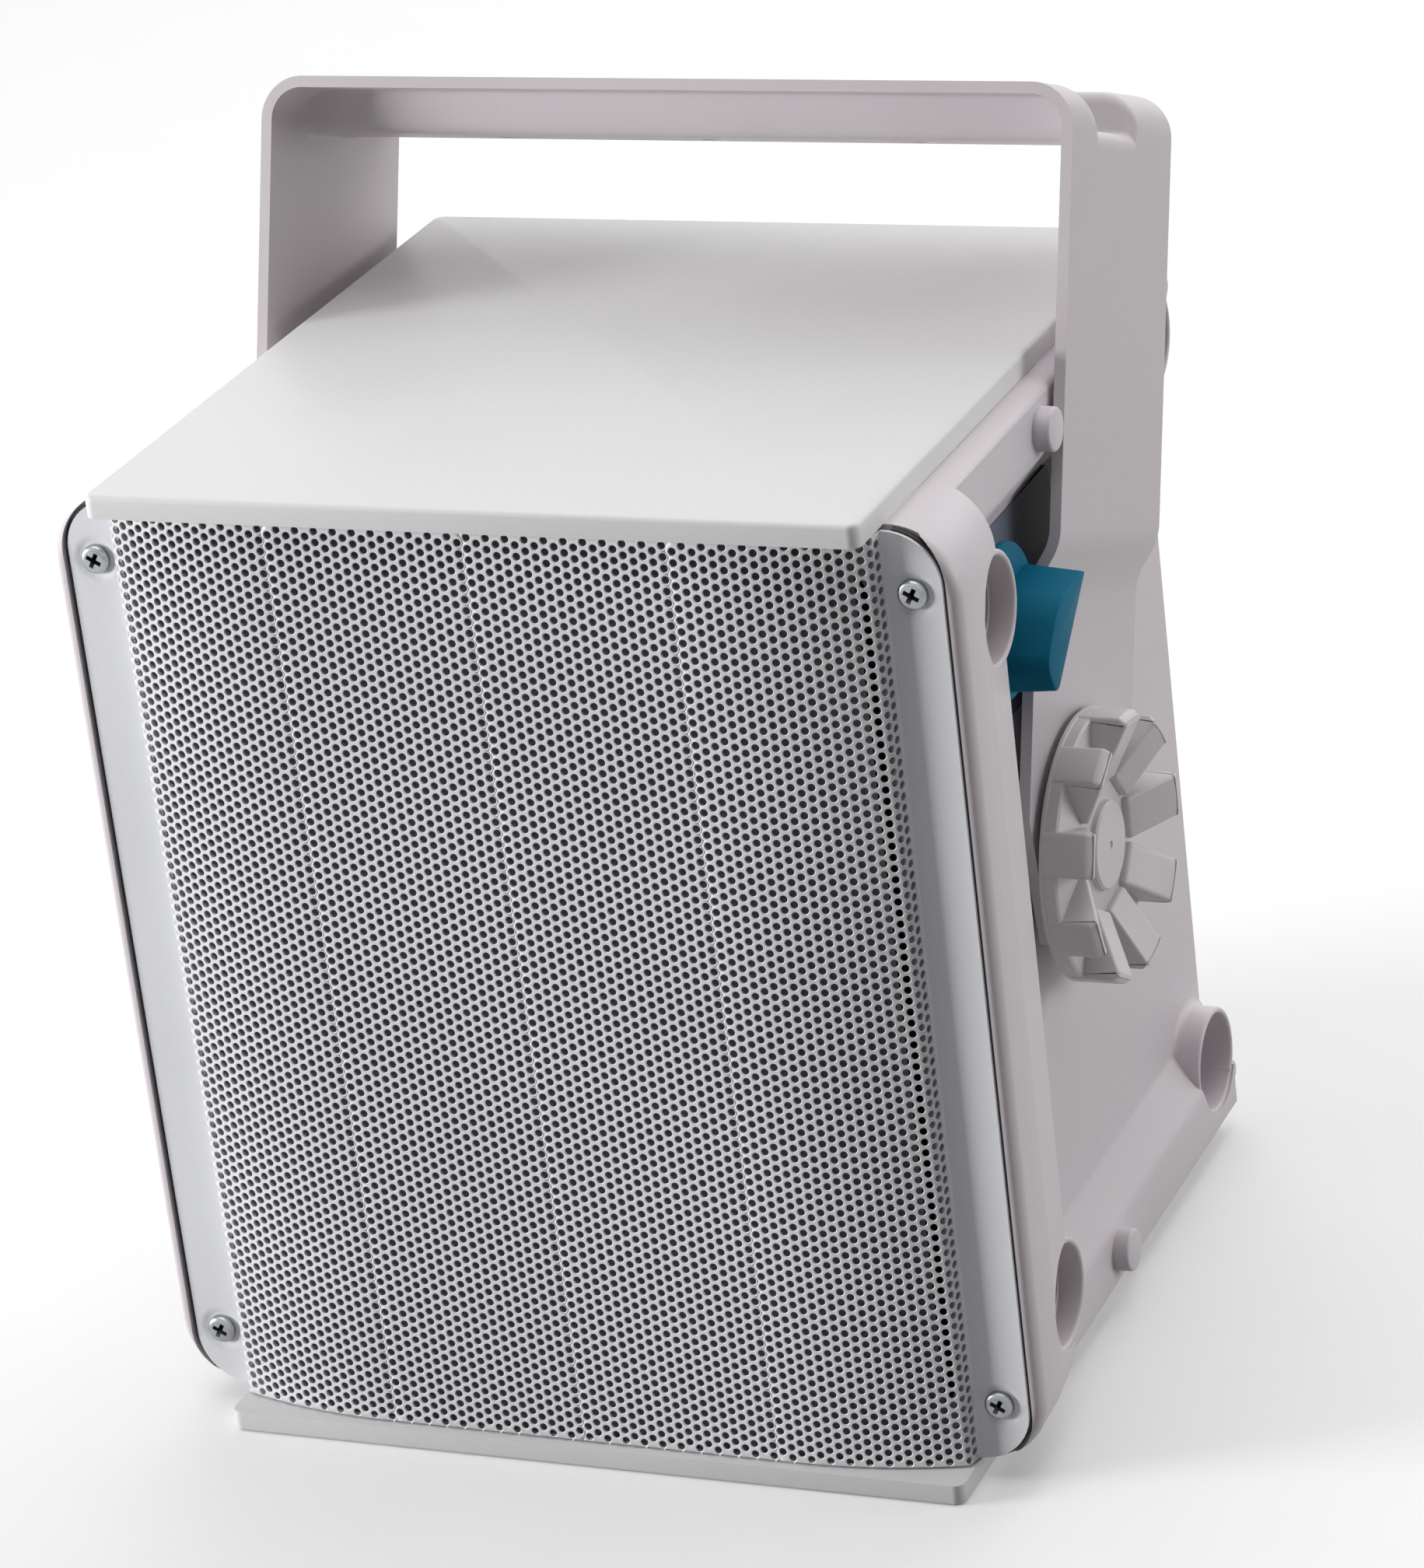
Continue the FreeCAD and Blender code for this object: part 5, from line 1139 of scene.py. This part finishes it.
def cross_tool(x, z, front):
    """Cross recess of a screw."""
    length, width, height, taper, sunk = 0.0050, 0.0014, 0.0030, 0.55, 0.0006
    turn = Matrix.Rotation(math.radians(28), 4, "Y")
    shapes = []
    for wide, tall in ((length, width), (width, length)):
        bm = bmesh.new()
        bmesh.ops.create_cube(bm, size=1.0)
        bmesh.ops.scale(bm, vec=(wide, height, tall), verts=list(bm.verts))
        deep = [v for v in bm.verts if v.co.y > 0]
        bmesh.ops.scale(bm, vec=(taper, 1, taper), verts=deep)
        bmesh.ops.rotate(bm, cent=(0, 0, 0), matrix=turn, verts=list(bm.verts))
        bmesh.ops.translate(bm, vec=(x, front + sunk, z), verts=list(bm.verts))
        shapes.append(bm)
    return shapes


class SPEAKER_OT_grille_screws(bpy.types.Operator):
    """Cross-recessed pan-head screws on the grille's flanges"""

    bl_idname = "speaker.grille_screws"
    bl_label = "Grille screws"

    def execute(self, context):
        sizes = context.scene.speaker_grille
        seat = depth(sizes.flange_set + sizes.dimple_depth)
        head, thick, shank = sizes.screw_head, sizes.screw_thick, sizes.screw_shank
        end, point, flat, rim = -sizes.screw_length, 0.0005, 0.62, 0.42
        outline = [(0, thick)]
        for turn in (math.pi / 2 * k / 8 for k in range(9)):
            across, up = flat + (1 - flat) * math.sin(turn), rim + (1 - rim) * math.cos(turn)
            outline.append((head * across, thick * up))
        outline += [(head, 0.0), (shank, 0.0), (shank, end + point), (0, end)]
        names = ("lower_left", "upper_left", "lower_right", "upper_right")
        spots = [(s * sizes.screw_x, MID + r * sizes.screw_rise) for s in (-1, 1) for r in (-1, 1)]
        for name, (x, z) in zip(names, spots):
            bm = bmesh.new()
            turned(bm, outline, (x, seat, z), (0, -1, 0), 40)
            piece = as_object("grille_screw_" + name, tidy(bm))
            carve(piece, cross_tool(x, z, seat - thick), "DIFFERENCE")
            stands_for = ("grille_screws",) if name == names[0] else ()
            place(piece, "cabinet", finish("zinc_steel"), stands_for)
        return {"FINISHED"}


# Where the channel's bends blend into the flat steel, past the corner bends
CHANNEL_EASE = 0.002
CHANNEL_BLEND = 0.012


def channel_wall_marks(sizes):
    """How far in and how deep the channel's straight wall starts, and how far in it ends."""
    lean, crest, cove = sizes.channel_wall, sizes.channel_crest, sizes.channel_cove
    start, start_drop = crest * math.sin(lean), crest * (1 - math.cos(lean))
    straight = sizes.channel_depth - start_drop - cove * (1 - math.cos(lean))
    return start, start_drop, start + straight / math.tan(lean)


def channel_steps(sizes):
    """Distances in from the channel's rim at which its section needs points."""
    end = channel_wall_marks(sizes)[2]
    lean, cove = sizes.channel_wall, sizes.channel_cove
    rounds = [sizes.channel_crest * math.sin(lean * k / 6) for k in range(7)]
    return rounds + [end + cove * (math.sin(lean) - math.sin(lean * k / 4)) for k in range(4, -1, -1)]


def channel_drop(sizes, y):
    """Depth of the channel at a place across the strip: rounded rim, straight wall, coved floor."""
    into = min(y - sizes.channel_front, sizes.channel_rear - y)
    start, start_drop, end = channel_wall_marks(sizes)
    crest, cove = sizes.channel_crest, sizes.channel_cove
    if into <= 0:
        return 0.0
    if into < start:
        return crest - math.sqrt(crest ** 2 - into ** 2)
    if into < end:
        return start_drop + (into - start) * math.tan(sizes.channel_wall)
    left = max(0.0, end + cove * math.sin(sizes.channel_wall) - into)
    return sizes.channel_depth - cove + math.sqrt(cove ** 2 - left ** 2)


def press_channel(bm, sizes):
    """Lower the crossbar along its middle, with tighter bends where the channel runs out."""
    old_x, old_z = sizes.arm_high - sizes.bend, sizes.reach - sizes.bend
    flat_x, flat_z = old_x - CHANNEL_BLEND, old_z - CHANNEL_BLEND
    for v in bm.verts:
        drop = channel_drop(sizes, v.co.y)
        if drop <= 0 or v.co.z < flat_z:
            continue
        bend = sizes.bend + (sizes.channel_end - sizes.bend) * drop / sizes.channel_depth
        new_x, new_z = sizes.arm_high - bend, sizes.reach - drop - bend
        out, up = abs(v.co.x), v.co.z
        if out > old_x - NEAR and up > old_z - NEAR:
            turn = math.atan2(up - old_z, out - old_x)
            out, up = new_x + bend * math.cos(turn), new_z + bend * math.sin(turn)
        elif out > old_x:
            up = flat_z + (up - flat_z) * (new_z - flat_z) / (old_z - flat_z)
        else:
            up -= drop
            if out > flat_x:
                out = flat_x + (out - flat_x) * (new_x - flat_x) / (old_x - flat_x)
        v.co.x, v.co.z = math.copysign(out, v.co.x), up


class SPEAKER_OT_bracket(bpy.types.Operator):
    """Yoke bracket: a bent strip with jogged arms and a channel pressed along the crossbar"""

    bl_idname = "speaker.bracket"
    bl_label = "Bracket"

    def execute(self, context):
        sizes = context.scene.speaker_yoke
        half = sizes.half_width
        foot = sizes.foot_start - sizes.foot_height
        near_top = sizes.reach - 100 * NEAR
        right = [
            (sizes.arm_low, foot - CUT_PAST),
            (sizes.arm_low, sizes.jog_low),
            (sizes.arm_high, sizes.jog_high),
            (sizes.arm_high, sizes.reach),
        ]
        path = [(-x, u) for x, u in right] + list(reversed(right))
        bm = bmesh.new()
        verts = [bm.verts.new((x, -half, u)) for x, u in path]
        edges = [bm.edges.new(pair) for pair in zip(verts, verts[1:])]
        moved = new_verts(bmesh.ops.extrude_edge_only(bm, edges=edges))
        bmesh.ops.translate(bm, verts=moved, vec=(0, 2 * half, 0))
        folds = [e for e in bm.edges if span(e, Y) > half]
        bevel_edges(bm, [e for e in folds if e.verts[0].co.z > near_top], sizes.bend, 12)
        folds = [e for e in bm.edges if span(e, Y) > half]
        middle, height = (sizes.jog_low + sizes.jog_high) / 2, sizes.jog_high - sizes.jog_low
        jogs = [e for e in folds if abs(e.verts[0].co.z - middle) < height]
        bevel_edges(bm, jogs, sizes.jog_round, 4)
        for gap in (sizes.bend + CHANNEL_EASE, sizes.bend + CHANNEL_BLEND):
            cut_plane(bm, (0, 0, sizes.reach - gap), (0, 0, 1))
            cut_plane(bm, (sizes.arm_high - gap, 0, 0), (1, 0, 0))
            cut_plane(bm, (gap - sizes.arm_high, 0, 0), (1, 0, 0))
        for inset in channel_steps(sizes):
            cut_plane(bm, (0, sizes.channel_front + inset, 0), (0, 1, 0))
            cut_plane(bm, (0, sizes.channel_rear - inset, 0), (0, 1, 0))
        for sign in (-1, 1):
            along = Vector((0, sign * sizes.foot_inset, sizes.foot_height)).normalized()
            out = Vector((0, sign * along.z, -abs(along.y)))
            cut_plane(bm, (0, sign * half, sizes.foot_start), out, clear=True)
        cut_plane(bm, (0, 0, foot), (0, 0, -1), clear=True)
        press_channel(bm, sizes)
        tidy(bm)
        top = [f for f in bm.faces if f.calc_center_median().z > near_top]
        if sum(f.normal.z * f.calc_area() for f in top) < 0:
            bmesh.ops.reverse_faces(bm, faces=list(bm.faces))
        lean = Matrix.Rotation(-sizes.lean, 4, "X")
        bmesh.ops.rotate(bm, cent=(0, 0, 0), matrix=lean, verts=list(bm.verts))
        pivot = Vector((0, PIVOT.y, PIVOT.z))
        bmesh.ops.translate(bm, vec=pivot, verts=list(bm.verts))
        piece = as_object("bracket_pressing", bm)
        thicken(piece, sizes.thick)
        level = sizes.reach - sizes.channel_depth - sizes.thick / 2
        radius, through = sizes.fixing_hole, 2 * sizes.thick
        outline = [(0, -through), (radius, -through), (radius, through), (0, through)]
        holes = []
        for k in (-1, 0, 1):
            bm = bmesh.new()
            centre = lean @ Vector((k * sizes.fixing_spread, 0, level)) + pivot
            turned(bm, outline, centre, lean @ Vector((0, 0, 1)), 32)
            holes.append(tidy(bm))
        carve(piece, holes, "DIFFERENCE")
        soften(piece, sizes.edge, segments=3, angle=50.0)
        place(piece, "yoke", finish("bracket_paint"), ("bracket",), 40.0)
        return {"FINISHED"}


def knob_lobe(sizes):
    """One lobe along +Y: a block whose top slopes down towards the hub."""
    base, top = sizes.base, sizes.base + sizes.height
    skin, sunk, crease = 0.0001, 0.001, math.radians(13)
    radius, half = sizes.radius - skin, sizes.lobe_width / 2
    outline = [
        (sizes.lobe_start, base + sunk),
        (radius, base + sunk),
        (radius, top - sizes.lobe_ease),
        (radius - sizes.lobe_ease, top),
        (radius - sizes.lobe_land, top),
        (sizes.lobe_start, base + sizes.lobe_start_rise),
    ]
    bm = bmesh.new()
    face = new_face(bm, [(x, r, -half) for r, x in outline])
    raise_face(bm, face, (0, 0, 2 * half))
    tidy(bm)
    long = [e for e in bm.edges if span(e, Z) > half]
    bmesh.ops.subdivide_edges(bm, edges=long, cuts=7, use_grid_fill=True)
    for v in bm.verts:
        if v.co.y > radius - sizes.lobe_ease - 10 * NEAR:
            v.co.y += math.sqrt(radius ** 2 - v.co.z ** 2) - radius
    rims = []
    for e in bm.edges:
        if len(e.link_faces) == 2 and e.calc_face_angle() > crease:
            if max(v.co.x for v in e.verts) > base + sizes.disc - sunk:
                rims.append(e)
    bevel_edges(bm, rims, SOFT_EDGE, 3)
    return bm


def hand_knob(sizes):
    """Right hand knob: a disc with a raised hub and a ring of lobes."""
    base = sizes.base
    floor, hub_top = base + sizes.disc, base + sizes.hub_rise
    radius, hub = sizes.radius, sizes.hub
    bead, step, edge, cove, dent, dent_radius = 0.0012, 0.0004, 0.0006, 0.0012, 0.0005, 0.0013
    outline = [(0, base), (radius, base), (radius, base + bead * 0.75), (radius - step, base + bead)]
    outline += [(radius - step, floor - edge), (radius - step - edge, floor), (hub + cove, floor)]
    outline += [(hub + cove / 4, floor + step), (hub, floor + cove), (hub, hub_top - edge)]
    outline += [(hub - edge, hub_top), (dent_radius, hub_top)]
    outline += [(dent_radius - cove / 4, hub_top - dent), (0, hub_top - dent)]
    parts = [turned_x(outline, PIVOT.y, PIVOT.z, 96)]
    for k in range(sizes.lobes):
        bm = knob_lobe(sizes)
        turn = Matrix.Rotation(2 * math.pi * k / sizes.lobes, 4, "X")
        bmesh.ops.rotate(bm, cent=(0, 0, 0), matrix=turn, verts=list(bm.verts))
        bmesh.ops.translate(bm, vec=(0, PIVOT.y, PIVOT.z), verts=list(bm.verts))
        parts.append(bm)
    return join(*parts)


class SPEAKER_OT_hand_knobs(bpy.types.Operator):
    """Lobed hand knobs on both sides"""

    bl_idname = "speaker.hand_knobs"
    bl_label = "Hand knobs"

    def execute(self, context):
        sizes = context.scene.speaker_knobs
        for side, bm in zip(("right", "left"), both_sides(hand_knob, sizes)):
            piece = as_object("hand_knob_%s_moulding" % side, bm)
            look = finish("knob_plastic")
            place(piece, "knob_" + side, look, ("hand_knob_" + side,), 40.0)
        return {"FINISHED"}


class SPEAKER_OT_selector(bpy.types.Operator):
    """Selector: a round skirt with a pointed grip"""

    bl_idname = "speaker.selector"
    bl_label = "Selector"

    def execute(self, context):
        sizes = context.scene.speaker_knobs
        low = sizes.skirt_top - sizes.skirt_thick
        skirt = turned_x(soft_rod(sizes.skirt, low, sizes.skirt_top, FINE_EDGE), DIAL.y, DIAL.z, 96)
        bm = bmesh.new()
        foot = low + sizes.grip_foot
        plan = [
            ((sizes.grip_tip, -sizes.grip_flat), sizes.grip_tip_round),
            ((sizes.grip_crown, sizes.grip_crown_out), sizes.grip_crown_round),
            ((-sizes.grip_heel, sizes.grip_heel_out), sizes.grip_heel_round),
            ((-sizes.grip_tail, -sizes.grip_flat), sizes.grip_tail_round),
        ]
        new_face(bm, [(foot, a, b) for (a, b), radius in plan])
        face = round_corners(bm, [((foot, a, b), radius) for (a, b), radius in plan])
        raise_face(bm, face, (sizes.grip_top - foot, 0, 0))
        tidy(bm)
        for v in bm.verts:
            if v.co.x < sizes.skirt_top:
                v.co.y *= sizes.grip_draft
        bevel_edges(bm, edges_at(bm, X, sizes.grip_top), sizes.grip_edge, 3)
        turn = Matrix.Rotation(sizes.grip_turn, 4, "X")
        bmesh.ops.rotate(bm, cent=(0, 0, 0), matrix=turn, verts=list(bm.verts))
        bmesh.ops.translate(bm, vec=(0, DIAL.y, DIAL.z), verts=list(bm.verts))
        piece = as_object("selector_moulding", join(skirt, bm))
        place(piece, "selector", finish("teal_plastic"), ("selector_knob",))
        return {"FINISHED"}


# Each lamp's name, azimuth, elevation, size and level at the cabinet
LAMPS = (
    ("key", 63, 8, 0.9, 1.05),
    ("top", 15, 84, 2.4, 0.50),
    ("back", 180, 42, 3.2, 0.70),
    ("fill", -112, 10, 1.2, 0.35),
)
LAMP_DISTANCE = 2.6

# Rays that see the bright floor and sky; to all others these give little light
SEEN_RAYS = ("Is Camera Ray", "Is Glossy Ray", "Is Transmission Ray")
SKY_LEVEL = 0.05
FLOOR_SIZE = 40.0
FLOOR_GLOW = 0.20
FLOOR_BOUNCE = 0.30

# The camera, fitted to the photograph, with its focal length in the photograph's pixels
CAMERA_SPOT = Vector((0.62459, -1.33100, 0.77236))
CAMERA_RIGHT = Vector((0.9209, 0.3735, -0.1121))
CAMERA_FORWARD = Vector((-0.3863, 0.8350, -0.3917))
FOCAL_PIXELS = 7720
PHOTO_HEIGHT = 2016
SENSOR = 36.0


class SPEAKER_OT_stage(bpy.types.Operator):
    """Floor, lights and the camera at the photograph's angle"""

    bl_idname = "speaker.stage"
    bl_label = "Stage"

    def execute(self, context):
        scene = context.scene
        scene.view_settings.view_transform = "Standard"
        self.floor()
        self.world(scene)
        for lamp in LAMPS:
            self.lamp(*lamp)
        self.camera(scene)
        return {"FINISHED"}

    def floor(self):
        bm = bmesh.new()
        bmesh.ops.create_grid(bm, x_segments=1, y_segments=1, size=FLOOR_SIZE)
        floor = as_object("floor", bm)
        f = Finish("pale_floor")
        pale = f.mix(f.noise(40.0, 2.0), grey(0.80), grey(0.82))
        seen = sum(f.node("ShaderNodeLightPath", output=ray) for ray in SEEN_RAYS)
        f.set(
            Base_Color=f.mix(seen, grey(FLOOR_BOUNCE), pale),
            Roughness=0.8,
            Specular_IOR_Level=0.0,
            Emission_Color=f.mix(seen, grey(0.0), grey(FLOOR_GLOW)),
            Emission_Strength=1.0,
        )
        floor.data.materials.append(f.material)

    def world(self, scene):
        world = bpy.data.worlds.new("studio")
        scene.world = world
        world.use_nodes = True
        tree = world.node_tree
        tree.nodes.clear()
        path = tree.nodes.new("ShaderNodeLightPath")
        sky = tree.nodes.new("ShaderNodeBackground")
        output = tree.nodes.new("ShaderNodeOutputWorld")
        tree.links.new(sky.outputs[0], output.inputs["Surface"])
        sky.inputs["Color"].default_value = grey(1.0)
        target = sky.inputs["Strength"]
        for ray in SEEN_RAYS:
            most = tree.nodes.new("ShaderNodeMath")
            most.operation = "MAXIMUM"
            most.inputs[1].default_value = SKY_LEVEL
            tree.links.new(path.outputs[ray], most.inputs[0])
            tree.links.new(most.outputs[0], target)
            target = most.inputs[1]

    def lamp(self, name, azimuth, elevation, size, level):
        """Square lamp aimed at the cabinet; azimuth from the front towards the left, in degrees."""
        across, rise = math.radians(azimuth), math.radians(elevation)
        level_x, level_y = -math.sin(across), -math.cos(across)
        away = Vector((math.cos(rise) * level_x, math.cos(rise) * level_y, math.sin(rise)))
        data = bpy.data.lights.new(name, "AREA")
        data.size = size
        data.energy = level * (math.pi * LAMP_DISTANCE) ** 2
        lamp = bpy.data.objects.new(name, data)
        bpy.context.scene.collection.objects.link(lamp)
        lamp.location = away * LAMP_DISTANCE + Vector((0, 0, MID))
        lamp.rotation_mode = "QUATERNION"
        lamp.rotation_quaternion = (-away).to_track_quat("-Z", "Y")

    def camera(self, scene):
        data = bpy.data.cameras.new("camera")
        camera = bpy.data.objects.new("camera", data)
        scene.collection.objects.link(camera)
        data.sensor_width = SENSOR
        data.lens = FOCAL_PIXELS * SENSOR / PHOTO_HEIGHT
        data.clip_start = 0.05
        forward = CAMERA_FORWARD.normalized()
        up = CAMERA_RIGHT.normalized().cross(forward).normalized()
        right = forward.cross(up).normalized()
        turn = Matrix((right, up, -forward)).transposed()
        camera.matrix_world = Matrix.Translation(CAMERA_SPOT) @ turn.to_4x4()
        scene.camera = camera


PIECE_OPERATORS = (
    SPEAKER_OT_dress_nodes,
    SPEAKER_OT_plates,
    SPEAKER_OT_front_frame,
    SPEAKER_OT_rear_housing,
    SPEAKER_OT_grille,
    SPEAKER_OT_grille_screws,
    SPEAKER_OT_bracket,
    SPEAKER_OT_hand_knobs,
    SPEAKER_OT_selector,
    SPEAKER_OT_stage,
)


class SPEAKER_PT_panel(bpy.types.Panel):
    """Lists the speaker's building steps"""

    bl_idname = "SPEAKER_PT_panel"
    bl_label = "Wall speaker"
    bl_space_type = "VIEW_3D"
    bl_region_type = "UI"
    bl_category = "Speaker"

    def draw(self, context):
        for step in PIECE_OPERATORS:
            self.layout.operator(step.bl_idname)


SIZE_GROUPS = {
    "speaker_cabinet": CabinetSizes,
    "speaker_grille": GrilleSizes,
    "speaker_yoke": YokeSizes,
    "speaker_knobs": KnobSizes,
    "speaker_finishes": SpeakerFinishes,
}


def register():
    for group in SIZE_GROUPS.values():
        bpy.utils.register_class(group)
    for step in PIECE_OPERATORS:
        bpy.utils.register_class(step)
    bpy.utils.register_class(SPEAKER_PT_panel)
    for name, group in SIZE_GROUPS.items():
        setattr(bpy.types.Scene, name, PointerProperty(type=group))


def unregister():
    for name in SIZE_GROUPS:
        delattr(bpy.types.Scene, name)
    bpy.utils.unregister_class(SPEAKER_PT_panel)
    for step in reversed(PIECE_OPERATORS):
        bpy.utils.unregister_class(step)
    for group in SIZE_GROUPS.values():
        bpy.utils.unregister_class(group)


def main():
    register()
    bpy.ops.speaker.dress_nodes()
    bpy.ops.speaker.plates()
    bpy.ops.speaker.front_frame()
    bpy.ops.speaker.rear_housing()
    bpy.ops.speaker.grille()
    bpy.ops.speaker.grille_screws()
    bpy.ops.speaker.bracket()
    bpy.ops.speaker.hand_knobs()
    bpy.ops.speaker.selector()
    bpy.ops.speaker.stage()


if __name__ == "__main__":
    main()
